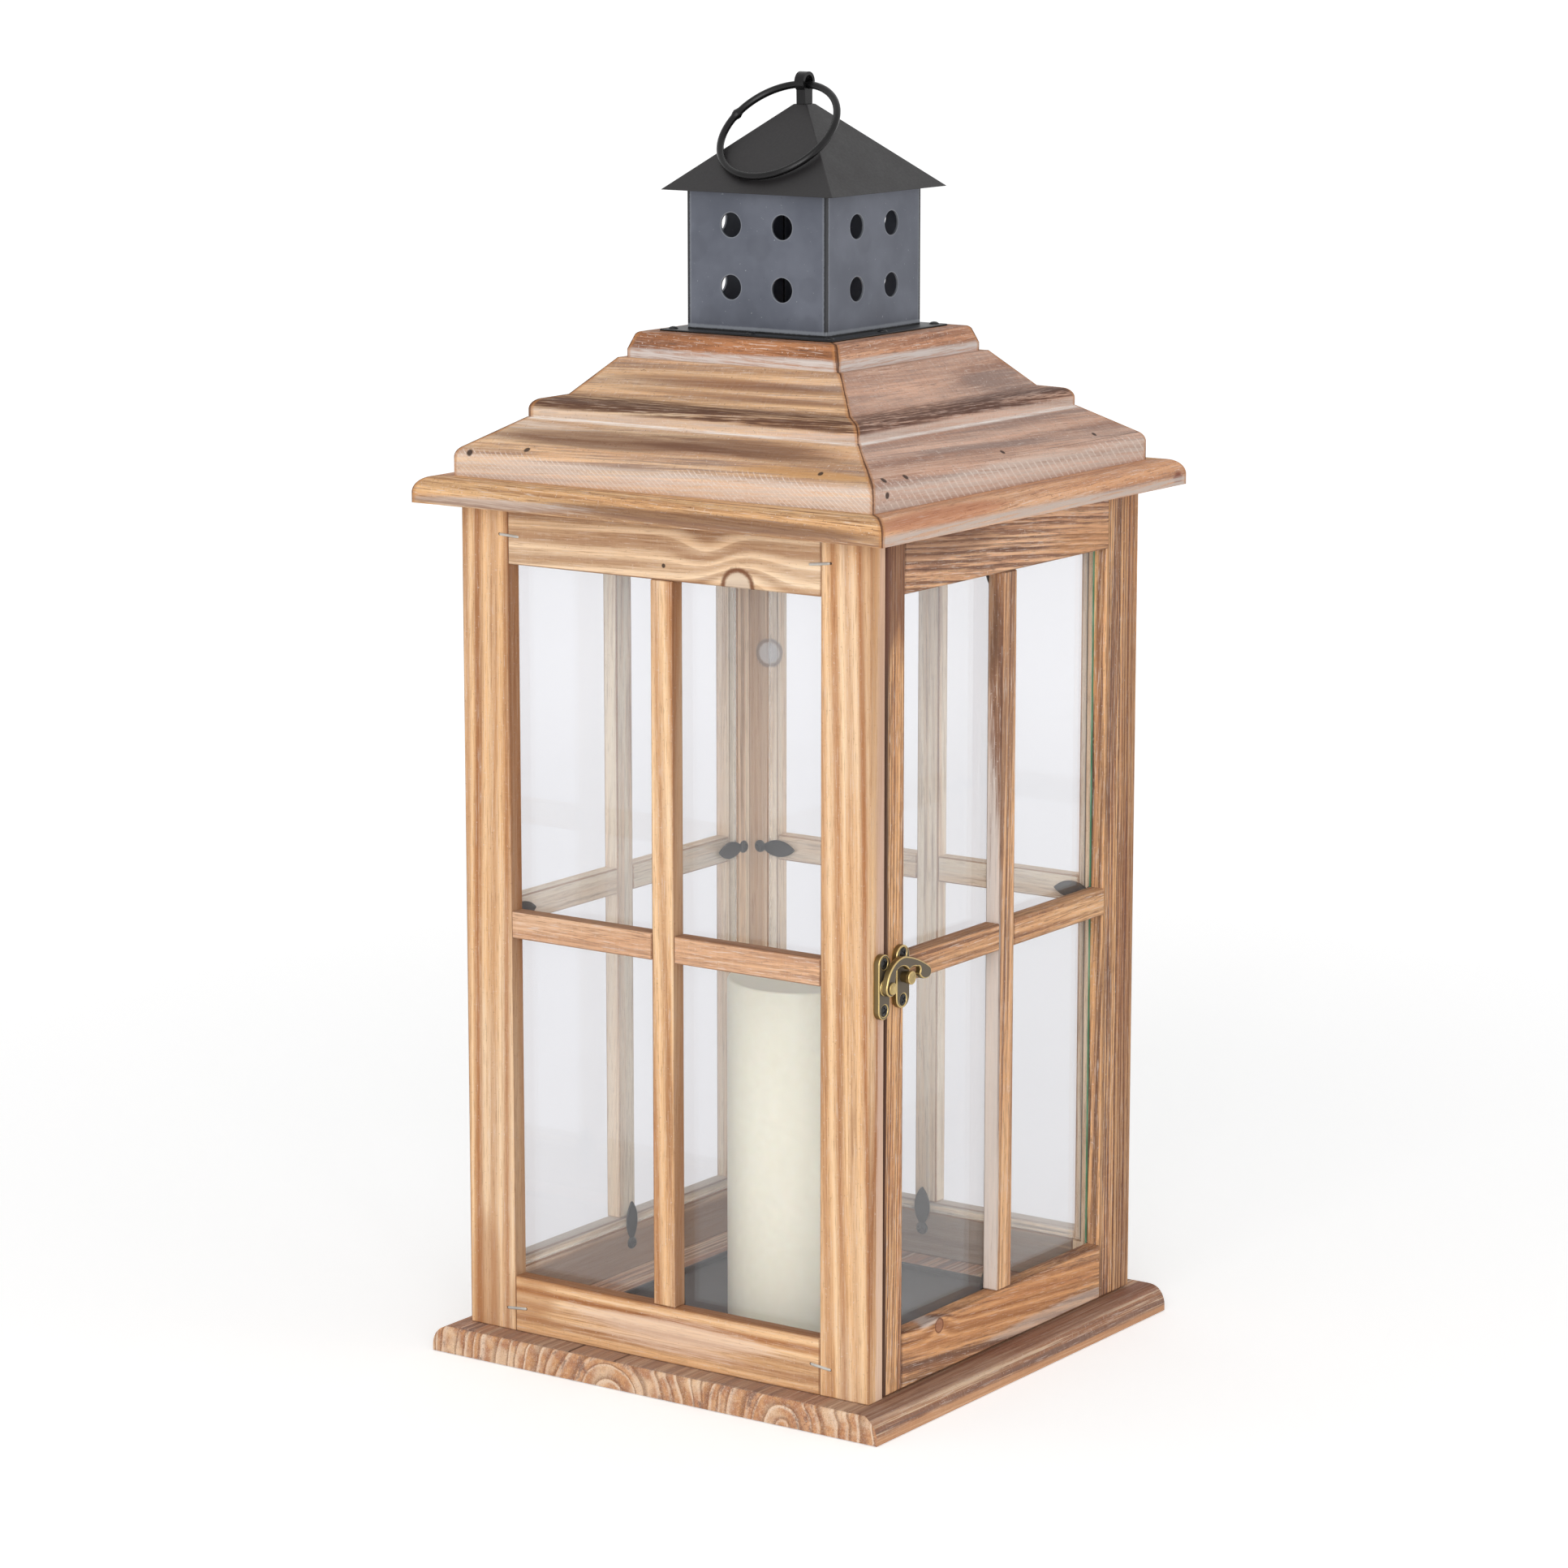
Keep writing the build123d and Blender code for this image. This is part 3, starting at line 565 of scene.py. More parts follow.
capTones = dict(burnt=(74, 42, 28), burn=0.55, film=0.1, ring=0.0034, hip=roof["hip"], fibre=0.45,
                flecks=0.5, specks=0.5, bands=[(0.4140, 0.4184, 0.0008, (216, 206, 200), 0.95)])
eaveGold = lookOf(
    light=(248, 202, 150), mid=(224, 171, 120), dark=(126, 78, 42), burnt=(92, 54, 34),
    pale=(244, 206, 156), burn=0.4, hip=roof["hip"], ring=0.003, fibre=0.4, flecks=0.5, specks=0.5,
    bands=[(0.3570, 0.3603, 0.0016, (140, 108, 90), 0.65)],
    stains=[((-0.1135, -0.04, 0.3612), (0.01, 0.08, 0.0028), (104, 68, 50), 0.7),
            ((-0.1143, 0.075, 0.3597), (0.01, 0.045, 0.0022), rubbed, 0.75)])
eaveRed = lookOf(
    light=(224, 166, 122), mid=(204, 142, 98), dark=(134, 80, 52), burnt=(104, 60, 40),
    pale=(240, 196, 160), burn=0.45, film=0.15, ringDepth=0.65, hip=roof["hip"], flecks=0.5, specks=0.5,
    bands=[(0.3570, 0.3610, 0.0010, (206, 192, 182), 0.85)],
    stains=[((0.1075, -0.1143, 0.3605), (0.004, 0.01, 0.003), (120, 62, 48), 0.8),
            ((-0.07, -0.1143, 0.3645), (0.04, 0.02, 0.003), (176, 104, 72), 0.5)])
tierGold = lookOf(
    light=(244, 198, 152), mid=(208, 154, 108), dark=(116, 72, 44), burnt=(84, 50, 32),
    ring=0.0075, wander=0.016, burn=0.55, film=0.2, hip=roof["hip"], fibre=0.4, specks=0.5,
    bands=tierBands, holes=leftHoles, saw=[(1, 0.0027, 1.4, 0.3675, 0.3785, 0.8)],
    stains=[((-0.088, 0.03, 0.3850), (0.012, 0.06, 0.0032), (112, 72, 50), 0.7),
            ((-0.084, -0.035, 0.3860), (0.012, 0.05, 0.0035), (104, 66, 46), 0.75),
            ((-0.094, -0.065, 0.3808), (0.012, 0.04, 0.002), (206, 152, 92), 0.6),
            ((-0.075, 0.07, 0.3885), (0.012, 0.03, 0.002), washed, 0.6),
            ((-0.0615, -0.01, 0.4080), (0.01, 0.06, 0.0022), (128, 82, 52), 0.6),
            ((-0.066, -0.02, 0.4035), (0.01, 0.06, 0.0012), (128, 82, 52), 0.5)])
tierRed = lookOf(
    light=(222, 176, 150), mid=(184, 138, 114), dark=(120, 76, 58), burnt=(90, 54, 42),
    pale=(226, 194, 174), ring=0.0085, wander=0.016, ringDepth=0.8, line=0.1, burn=0.5, film=0.25,
    hip=roof["hip"], fibre=0.4, specks=0.5, bands=tierBands, holes=frontHoles,
    saw=[(0, 0.0046, -1.1, 0.3685, 0.3780, 0.7)])
capBrown = lookOf(light=(178, 118, 78), mid=(146, 90, 56), dark=(88, 48, 28),
                  pale=(196, 138, 96), **capTones)
capRed = lookOf(light=(208, 150, 114), mid=(180, 124, 94), dark=(110, 66, 44),
                pale=(226, 182, 152), **capTones)
# for each ring, the wood of its left and right boards and of its front and back boards
eaveMats = woods(eave_gold=eaveGold, eave_red=eaveRed)
tierMats = woods(tier_gold=tierGold, tier_red=tierRed)
capMats = woods(cap_brown=capBrown, cap_red=capRed)


def pickRing(middle, axis):
    return int(axis == 0), anyPith(), anySlope(), rng.uniform(*roof["tone"])


def pickTier(middle, axis):
    pith = (rng.uniform(0.02, 0.03), rng.choice((-1, 1)) * rng.uniform(0.012, 0.02))
    slope = (rng.uniform(-0.04, 0.04), rng.uniform(0.03, 0.07))
    return int(axis == 0), pith, slope, rng.uniform(*roof["tone"])


boardPiece("eave_boards", "lantern_body", eaveMats, pickRing, roof["bevel"])
boardPiece("lower_roof_mouldings", "lantern_body", tierMats, pickTier, roof["bevel"])
boardPiece("upper_roof_mouldings", "lantern_body", tierMats, pickTier, roof["bevel"])
boardPiece("cap_boards", "lantern_body", capMats, pickRing, roof["bevel"])
print("roof")

# base board, two boards glued side by side, end grain at its left and right ends
base = {"joint": -0.028, "pithBack": (0.0203, -0.006), "pithFront": (-0.066, -0.001), "bevel": 0.0010,
        "slope": (0.0, 0.01)}
baseLook = lookOf(
    light=(196, 142, 104), mid=(166, 112, 80), dark=(110, 68, 46), burnt=(80, 48, 34),
    ring=0.0046, burn=0.6, film=0.12, fibre=0.6,
    stains=[((0.0, -0.106, 0.0115), (0.3, 0.006, 0.0030), (104, 62, 46), 0.7),
            ((0.0, -0.1115, 0.001), (0.3, 0.004, 0.003), (222, 166, 120), 0.6),
            ((-0.105, 0.0, 0.0115), (0.012, 0.1, 0.002), (150, 124, 108), 0.6),
            ((-0.103, 0.041, 0.0115), (0.014, 0.0007, 0.002), scorch, 0.8),
            ((-0.103, 0.018, 0.0115), (0.014, 0.0007, 0.002), scorch, 0.7)])
# on the end grain the thin line of each ring is a pale painted highlight on its ridge, with a painted shadow
# line beside it
endLook = lookOf(
    light=(206, 152, 106), mid=(178, 118, 76), dark=(234, 206, 180), burnt=(104, 58, 34),
    ring=0.0054, ringDepth=0.85, line=1.0, lineFrom=0.58, uneven=2.2, wander=0.007, waver=0.7, groove=0.6,
    burn=0.75, fibre=0.2, film=0.08, chatter=0.0)
baseMats = woods(pine_base=baseLook, pine_base_end=endLook)


def pickBase(middle, axis):
    pith = base["pithBack"] if middle.y > base["joint"] else base["pithFront"]
    return 0, (middle.y - pith[0], middle.z - pith[1]), base["slope"], 1.0


boardPiece("base_board", "lantern_body", baseMats, pickBase, base["bevel"], along=0, split=base["joint"],
           endMat=1)
print("base")

# glass, each pane a hair off its bars, with the green of its cut edge on the door
pane = {"tint": tint(247, 247, 249), "shade": tint(254, 255, 255), "clear": 0.965, "ior": 1.42,
        "gap": 0.00008, "flat": 1e-5, "line": 0.0010, "lineDepth": 0.0003, "lineBevel": 0.00008,
        "lift": 0.0002, "jamb": 0.0037, "trim": 0.0078}
glassMat, glassShader, glassStart = newMaterial("clear_pane", {
    "Base Color": pane["tint"], "Roughness": 0.0, "IOR": pane["ior"], "Transmission Weight": pane["clear"]})
shadowRay = glassStart.node("ShaderNodeLightPath", {}, {}, "Is Shadow Ray")
clear = glassStart.node("ShaderNodeBsdfTransparent", {}, {"Color": pane["shade"]})
solid = Sock(glassMat.node_tree, glassShader.outputs[0])
mixed = glassStart.node("ShaderNodeMixShader", {}, {0: shadowRay, 1: solid, 2: clear})
feed(glassMat.node_tree.nodes["Material Output"], "Surface", mixed)
cutMat, cutShader, cutStart = newMaterial("cut_glass", {"Roughness": 0.25})
cutNoise = cutStart.place().noise((120, 120, 60), 2.0)
feed(cutShader, "Base Color", cutNoise.smooth(0.35, 0.65).blend((72, 128, 98), (112, 160, 132)))


def panePiece(side, body, out):
    # out points from the lantern's middle through the pane, and the pane's reach that way comes back
    work = merged(side + "_glass")
    out = Vector(out)
    reach = max(v.co.dot(out) for v in work.verts)
    for v in work.verts:
        if v.co.dot(out) > reach - pane["flat"]:
            v.co -= out * pane["gap"]
    placed(side + "_pane", work, [glassMat], body, [side + "_glass"])
    return reach


def cutEdge(side, body, out, reach):
    # the green of the glass where it stops short of the jamb
    out = Vector(out)
    low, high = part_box(side + "_glass")
    right = Vector((0, 0, 1)).cross(out)
    jamb = max(Vector((c.x, c.y, 0)).dot(right) for c in (low, high)) - pane["jamb"]
    across, deep = jamb - pane["line"] / 2, reach + pane["lift"]
    line = bmesh.new()
    for v in bmesh.ops.create_cube(line, size=1.0)["verts"]:
        a, b, c = v.co
        v.co = right * (across + a * pane["line"]) + out * (deep + b * pane["lineDepth"])
        v.co.z = (low.z + high.z) / 2 + c * (high.z - low.z - pane["trim"])
    bmesh.ops.recalc_face_normals(line, faces=line.faces)
    softened(line, pane["lineBevel"], 1, 0.0)
    placed(side + "_pane_edge", line, [cutMat], body, [])


for side, out in (("left", (-1, 0, 0)), ("right", (1, 0, 0)), ("back", (0, 1, 0))):
    panePiece(side, "lantern_body", out)
doorOut = (0, -1, 0)
cutEdge("door", "door", doorOut, panePiece("door", "door", doorOut))
print("glass")


def metalMaterial(name, shade, bright, rough, metal, specks, bump=0.25):
    mat, shader, start = newMaterial(name, {"Metallic": metal})
    place = start.place()
    fine = place.noise((900, 900, 900), 3.0, 0.6)
    broad = place.noise((72, 72, 72), 3.0, 0.6)
    colour = (broad.smooth(0.35, 0.7) * 0.5).blend(shade, bright)
    colour = (fine.smooth(0.64, 0.74) * specks).blend(colour, bright)
    feed(shader, "Base Color", colour)
    feed(shader, "Roughness", rough + (fine - 0.5) * 0.2 + (broad - 0.5) * 0.2)
    bumpInto(shader, fine * 0.6 + broad * 0.4, bump, 0.0003)
    return mat


def plainPiece(name, node, body, mat, bevel, segments=2, least=0.0, clamp=True):
    # edge is 1 on the rounded edges, half on the sides and 0 on the front
    work = merged(node)
    edgeLayer = work.faces.layers.float.new("edge")
    fresh = softened(work, bevel, segments, least, clamp=clamp)
    work.normal_update()
    for f in work.faces:
        f[edgeLayer] = 1.0 if f in fresh else 0.5 if abs(f.normal.y) < 0.6 else 0.0
    return placed(name, work, [mat], body, [node], 35)


# chimney, its corners, vents and foot each from where a colour starts to where it is full
chimney = {"ventSide": 0.0125, "ventHeights": (0.4436, 0.4686), "ventRim": (0.0055, 0.0052),
           "cornerPaleLine": (0.0318, 0.0324), "cornerGap": (0.0326, 0.0331), "footFoldHighlight": (0.4283, 0.4274),
           "footShade": (0.4268, 0.4262), "ragged": 0.0006, "wallBevel": 0.0003, "coverBevel": 0.0005,
           "eyeBevel": 0.0003, "longEdge": 0.004, "eyeEdge": 0.0008}


def slateMaterial():
    mat, shader, start = newMaterial("slate_metal", {"Metallic": 0.35})
    place = start.place()
    px, py, pz = place.parts()
    broad = place.noise((38, 38, 38), 3.0, 0.6)
    fine = place.noise((700, 700, 700), 3.0, 0.6)
    drops = place.cells((52, 52, 52)) + (broad - 0.5) * 0.3
    ragged = (fine - 0.5) * chimney["ragged"]
    colour = broad.smooth(0.3, 0.75).blend((85, 89, 100), (104, 108, 119))
    colour = (drops.smooth(0.36, 0.26) * 0.2).blend(colour, (74, 77, 86))
    colour = (fine.smooth(0.68, 0.74) * 0.5).blend(colour, (168, 170, 174))
    colour = (fine.smooth(0.30, 0.24) * 0.5).blend(colour, (52, 54, 60))
    corner = px.maths("MINIMUM", abs(px), abs(py)) + ragged
    # a paler line beside each corner seam, then the dark seam itself
    colour = (corner.smooth(*chimney["cornerPaleLine"]) * 0.5).blend(colour, (128, 131, 138))
    colour = (corner.smooth(*chimney["cornerGap"]) * 0.92).blend(colour, (18, 18, 20))
    side = px.maths("MINIMUM", *[abs(abs(p) - chimney["ventSide"]) for p in (px, py)])
    level = pz.maths("MINIMUM", *[abs(pz - height) for height in chimney["ventHeights"]])
    rim = (side * side + level * level) ** 0.5
    colour = (rim.smooth(*chimney["ventRim"]) * 0.45).blend(colour, (146, 149, 154))
    foot = pz + ragged
    # painted highlight along the fold at the wall's foot
    colour = (foot.smooth(*chimney["footFoldHighlight"]) * 0.6).blend(colour, (150, 154, 160))
    colour = foot.smooth(*chimney["footShade"]).blend(colour, (28, 28, 29))
    feed(shader, "Base Color", colour)
    feed(shader, "Roughness", 0.42 + (broad - 0.5) * 0.25)
    bumpInto(shader, broad * 0.6 + fine * 0.2, 0.2, 0.0006)
    return mat


coverMat = metalMaterial("dark_metal", (29, 27, 28), (39, 36, 37), 0.5, 0.2, 0.5, bump=0.1)
ironMat = metalMaterial("black_metal", (17, 16, 17), (33, 32, 33), 0.28, 0.5, 0.15, bump=0.06)
plainPiece("chimney_walls", "chimney_box", "lantern_body", slateMaterial(),
           chimney["wallBevel"], 2, chimney["longEdge"])
plainPiece("chimney_cover", "chimney_roof", "lantern_body", coverMat,
           chimney["coverBevel"], 3, chimney["longEdge"])
plainPiece("hanging_eye", "hanger_eye", "lantern_body", ironMat,
           chimney["eyeBevel"], 2, chimney["eyeEdge"])
print("chimney")

# hanging ring, lying on the left slope, thicker at its weld
ringShape = {"wire": 0.0015, "steps": 180, "round": 20, "weld": 1.88, "weldWidth": 0.05, "swell": 0.4}
ringLow, ringHigh = boxOf([v.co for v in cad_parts["hanging_ring"].data.vertices])
ringMiddle = (ringLow + ringHigh) / 2
ringSpan = ringHigh - ringLow
ringRadius = ringSpan.y / 2 - ringShape["wire"]
ringSide = Vector((0, 1, 0))
ringDown = Vector((2 * ringShape["wire"] - ringSpan.x, 0, 2 * ringShape["wire"] - ringSpan.z)).normalized()
ringUp = ringDown.cross(ringSide)
work = bmesh.new()
rows = []
for i in range(ringShape["steps"]):
    a = 2 * math.pi * i / ringShape["steps"]
    out = ringDown * math.cos(a) + ringSide * math.sin(a)
    bump = math.exp(-((a - ringShape["weld"]) / ringShape["weldWidth"]) ** 2)
    thick = ringShape["wire"] * (1.0 + ringShape["swell"] * bump)
    row = []
    for k in range(ringShape["round"]):
        b = 2 * math.pi * k / ringShape["round"]
        around = out * math.cos(b) + ringUp * math.sin(b)
        row.append(work.verts.new(ringMiddle + out * ringRadius + around * thick))
    rows.append(row)
for i, row in enumerate(rows):
    after = rows[(i + 1) % len(rows)]
    for k in range(len(row)):
        m = (k + 1) % len(row)
        work.faces.new((row[k], after[k], after[m], row[m]))
bmesh.ops.recalc_face_normals(work, faces=work.faces)
placed("ring_wire", work, [ironMat], "hanging_ring", ["hanging_ring"], 60)
print("ring")

# latch and hinges, dark in the flats and bright where hands rub them
latch = {"patina": (104, 94, 80), "brass": (122, 104, 68), "rubbed": (202, 176, 118),
         "knob": -0.1052, "noKnob": -1.0, "knobSoft": 0.0006, "shortEdge": 0.0001,
         "plate": 0.0004, "hook": 0.0005, "keeper": 0.0006, "rivet": 0.0003, "rivetEdge": 0.0003}
hinge = {"bevel": 0.0002, "least": 0.0008, "leaves": {
    "hinge_frame_leaves": "lantern_body", "hinge_pins": "lantern_body", "hinge_door_leaves": "door"}}


def brassMaterial(name, knob):
    # all that stands in front of the knob level is bright
    mat, shader, start = newMaterial(name, {"Metallic": 0.8})
    edge, place = start.attribute("edge"), start.place()
    fine = place.noise((900, 900, 900), 3.0, 0.6)
    broad = place.noise((170, 170, 170), 3.0, 0.6)
    front = place.parts()[1].smooth(knob + latch["knobSoft"], knob - latch["knobSoft"])
    rubbing = edge.maths("MAXIMUM", edge, front * 0.85) + (broad - 0.5) * 0.5 + (fine - 0.5) * 0.25
    colour = rubbing.smooth(0.05, 0.55).blend(latch["patina"], latch["brass"])
    colour = rubbing.smooth(0.6, 1.0).blend(colour, latch["rubbed"])
    feed(shader, "Base Color", colour)
    feed(shader, "Roughness", rubbing.smooth(0.0, 1.0, 0.52, 0.28))
    bumpInto(shader, fine * 0.5 + broad * 0.5, 0.15, 0.0003)
    return mat


brassMat = brassMaterial("brass_metal", latch["knob"])
hookMat = brassMaterial("hook_metal", latch["noKnob"])
plainPiece("latch_base", "latch_plate", "lantern_body", brassMat,
           latch["plate"], 3, latch["shortEdge"], clamp=False)
plainPiece("latch_pin", "latch_rivet", "lantern_body", brassMat,
           latch["rivet"], 2, latch["rivetEdge"])
plainPiece("latch_arm", "latch_hook", "latch_hook", hookMat,
           latch["hook"], 3, latch["shortEdge"], clamp=False)
plainPiece("keeper_base", "keeper_plate", "door", brassMat,
           latch["keeper"], 3, latch["shortEdge"])
for node, body in hinge["leaves"].items():
    plainPiece(node + "_metal", node, body, brassMat, hinge["bevel"], 2, hinge["least"])
print("latch and hinges")

# glass clips
clip = {"bevel": 0.0003, "least": 0.0003}
clipMat = metalMaterial("clip_metal", (26, 26, 27), (46, 46, 48), 0.36, 0.3, 0.2)
for node in sorted(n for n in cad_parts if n.startswith("clip_")):
    plainPiece(node + "_leaf", node, node, clipMat, clip["bevel"], 2, clip["least"])
print("clips")

# tray and candle
tray = {"bevel": 0.0005, "least": 0.004}
trayMat = metalMaterial("tray_metal", (26, 24, 23), (40, 38, 37), 0.5, 0.2, 0.15)
plainPiece("tray_sheet", "candle_tray", "lantern_body", trayMat,
           tray["bevel"], 2, tray["least"])


def waxMaterial():
    mat, shader, start = newMaterial("wax", {
        "Subsurface Weight": 0.25, "Subsurface Radius": (0.012, 0.008, 0.005), "Subsurface Scale": 0.5})
    place = start.place()
    broad = place.noise((30, 30, 12), 3.0, 0.5)
    fine = place.noise((260, 260, 260), 3.0, 0.55)
    mottle = broad * 0.6 + fine * 0.4
    feed(shader, "Base Color", mottle.smooth(0.35, 0.65).blend((232, 228, 207), (239, 236, 217)))
    feed(shader, "Roughness", 0.36 + fine * 0.2)
    bumpInto(shader, mottle, 0.15, 0.0008)
    return mat


candle = {"shoulder": 0.0012, "turns": (0.4, 0.8, 1.2, 1.57), "around": 96, "dish": 0.0022, "rim": 0.0028,
          "lip": 0.0003, "wickBevel": 0.0003}
candleLow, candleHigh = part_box("pillar_candle")
candleMiddle = (candleLow + candleHigh) / 2
wide, low, high = (candleHigh.x - candleLow.x) / 2, candleLow.z, candleHigh.z
turn, rim, dish = candle["shoulder"], candle["rim"], candle["dish"]
profile = [(0.0, low), (wide - turn, low), (wide, low + turn), (wide, high - turn)]
profile += [(wide - turn + turn * math.cos(t), high - turn + turn * math.sin(t)) for t in candle["turns"]]
profile += [(wide - rim, high - candle["lip"]), (wide - rim * 2, high - dish * 0.6),
            (wide * 0.5, high - dish), (0.0, high - dish)]
work = bmesh.new()
line = [work.verts.new((candleMiddle.x + r, candleMiddle.y, z)) for r, z in profile]
for a, b in zip(line, line[1:]):
    work.edges.new((a, b))
bmesh.ops.spin(work, geom=list(work.verts) + list(work.edges), axis=(0, 0, 1), angle=2 * math.pi,
               cent=(candleMiddle.x, candleMiddle.y, 0), steps=candle["around"], use_merge=True)
bmesh.ops.remove_doubles(work, verts=work.verts, dist=1e-6)
bmesh.ops.recalc_face_normals(work, faces=work.faces)
placed("candle_wax", work, [waxMaterial()], "lantern_body", ["pillar_candle"], 50)
wickMat = metalMaterial("wick_thread", (210, 204, 190), (232, 228, 218), 0.9, 0.0, 0.4)
plainPiece("candle_thread", "candle_wick", "lantern_body", wickMat, candle["wickBevel"])
print("candle and tray")


# what the two trees of small fasteners share
def newTree(name, sizes):
    # a tree that takes points, sizes and a finish
    tree = bpy.data.node_groups.new(name, "GeometryNodeTree")
    wanted = {"Geometry": "Geometry", **sizes, "Finish": "Material"}
    for label, kind in wanted.items():
        tree.interface.new_socket(label, in_out="INPUT", socket_type="NodeSocket" + kind)
    tree.interface.new_socket("Geometry", in_out="OUTPUT", socket_type="NodeSocketGeometry")
    given = tree.nodes.new("NodeGroupInput").outputs
    return Sock(tree), {label: Sock(tree, given[label]) for label in wanted}


def onPoints(start, given, shape):
    # one painted copy of the shape on each point, turned the point's way
    ways = [start.node("GeometryNodeInputNamedAttribute", {"data_type": "FLOAT_VECTOR"}, {"Name": label})
            for label in ("facing", "along")]
    turn = start.node("FunctionNodeAxesToRotation", {"primary_axis": "Z", "secondary_axis": "X"},
                      dict(enumerate(ways)))
    spread = start.node("GeometryNodeInstanceOnPoints", {},
                        {"Points": given["Geometry"], "Instance": shape, "Rotation": turn})
    real = start.node("GeometryNodeRealizeInstances", {}, {"Geometry": spread})
    painted = start.node("GeometryNodeSetMaterial", {}, {"Geometry": real, "Material": given["Finish"]})
    feed(start.tree.nodes.new("NodeGroupOutput"), "Geometry", painted)
    return start.tree


def scattered(name, tree, places, body, nodes, mat, sizes):
    # places are (point, way out, way along)
    mesh = bpy.data.meshes.new(name + "_points")
    mesh.from_pydata([p[0] for p in places], [], [])
    for column, label in ((1, "facing"), (2, "along")):
        layer = mesh.attributes.new(label, "FLOAT_VECTOR", "POINT")
        for i, place in enumerate(places):
            layer.data[i].vector = Vector(place[column]).normalized()
    obj = linked(name, mesh)
    mod = obj.modifiers.new("scatter", "NODES")
    mod.node_group = tree
    ids = {s.name: s.identifier for s in tree.interface.items_tree if s.in_out == "INPUT"}
    for key, value in sizes.items():
        mod[ids[key]] = value
    mod[ids["Finish"]] = mat
    flat = flattened(obj)
    flat.shade_smooth()
    flat.set_sharp_from_angle(angle=math.radians(32))
    return joined(obj, body, nodes)


# screw and nail heads, one tree for all of them
def headTree():
    start, given = newTree("fastenerHeads", {
        "Head Radius": "Float", "Head Height": "Float", "Slot Length": "Float", "Slot Width": "Float",
        "Slot Depth": "Float", "Slotted": "Bool"})

    def xyz(x, y, z):
        return start.node("ShaderNodeCombineXYZ", {}, {0: x, 1: y, 2: z})

    radius, height = given["Head Radius"], given["Head Height"]
    dome = start.node("GeometryNodeMeshUVSphere", {}, {"Segments": 28, "Rings": 14, "Radius": 1.0})
    shaped = start.node("GeometryNodeTransform", {}, {"Geometry": dome, "Scale": xyz(radius, radius, height)})
    lift = xyz(0.0, 0.0, height)
    bars = []
    for x, y in (("Slot Length", "Slot Width"), ("Slot Width", "Slot Length")):
        bar = start.node("GeometryNodeMeshCube", {}, {"Size": xyz(given[x], given[y], given["Slot Depth"])})
        bars.append(start.node("GeometryNodeTransform", {}, {"Geometry": bar, "Translation": lift}))
    cross = start.node("GeometryNodeMeshBoolean", {"operation": "DIFFERENCE", "solver": "EXACT"},
                       {0: shaped, 1: bars[0]})
    start.tree.links.new(bars[1].out, cross.out.node.inputs[1])
    head = start.node("GeometryNodeSwitch", {"input_type": "GEOMETRY"},
                      {"Switch": given["Slotted"], "False": shaped, "True": cross})
    return onPoints(start, given, head)


heads = headTree()
screwMat = metalMaterial("screw_metal", (34, 33, 33), (70, 69, 68), 0.35, 0.6, 0.3)
nailMat = metalMaterial("nail_metal", (24, 24, 25), (52, 52, 54), 0.35, 0.4, 0.3)
# sunk is how far a head sits below its fastener's end
nails = {"mat": nailMat, "slot": "black_iron", "sunk": 0.0010, "sizes": {
    "Head Radius": 0.0021, "Head Height": 0.0011, "Slotted": False}}
clipScrews = {"mat": screwMat, "slot": "dark_screw", "sunk": 0.0010, "sizes": {
    "Head Radius": 0.0024, "Head Height": 0.0010, "Slot Length": 0.0030, "Slot Width": 0.0006,
    "Slot Depth": 0.0011, "Slotted": True}}
latchScrews = {"mat": screwMat, "slot": "dark_screw", "sunk": 0.0003, "sizes": {
    "Head Radius": 0.0023, "Head Height": 0.0006, "Slot Length": 0.0032, "Slot Width": 0.0008,
    "Slot Depth": 0.0009, "Slotted": True}}
hingeScrews = {"mat": screwMat, "slot": "dark_screw", "sunk": 0.0002, "sizes": {
    "Head Radius": 0.0015, "Head Height": 0.0004, "Slot Length": 0.0019, "Slot Width": 0.0004,
    "Slot Depth": 0.0005, "Slotted": True}}


def inward(middle):
    if abs(middle.x) > abs(middle.y):
        return (-math.copysign(1, middle.x), 0, 0)
    return (0, -math.copysign(1, middle.y), 0)


def headPiece(name, node, body, kind, way):
    # a head on the outer end of each fastener, way being its way out, or none for inward
    work = merged(node)
    places = []
    for group in islandsOf(work):
        low, high = boxOf([v.co for v in group])
        middle = (low + high) / 2
        out = Vector(way or inward(middle))
        reach = max(v.co.dot(out) for v in group) - kind["sunk"]
        side = out.orthogonal().normalized()
        side.rotate(Matrix.Rotation(rng.uniform(0, math.pi), 3, out))
        places.append((middle + out * (reach - middle.dot(out)), out, side))
    work.free()
    return scattered(name, heads, places, body, [node], kind["mat"], kind["sizes"])


headPiece("flange_nails", "chimney_nails", "lantern_body", nails, (0, 0, 1))
headPiece("clip_heads", "panel_clip_screws", "lantern_body", clipScrews, None)
headPiece("door_clip_heads", "door_clip_screws", "door", clipScrews, None)
headPiece("latch_heads", "latch_screws", "lantern_body", latchScrews, (0, -1, 0))
headPiece("keeper_heads", "keeper_screws", "door", latchScrews, (0, -1, 0))
headPiece("hinge_frame_heads", "hinge_frame_screws", "lantern_body", hingeScrews, (1, 0, 0))
headPiece("hinge_door_heads", "hinge_door_screws", "door", hingeScrews, (1, 0, 0))


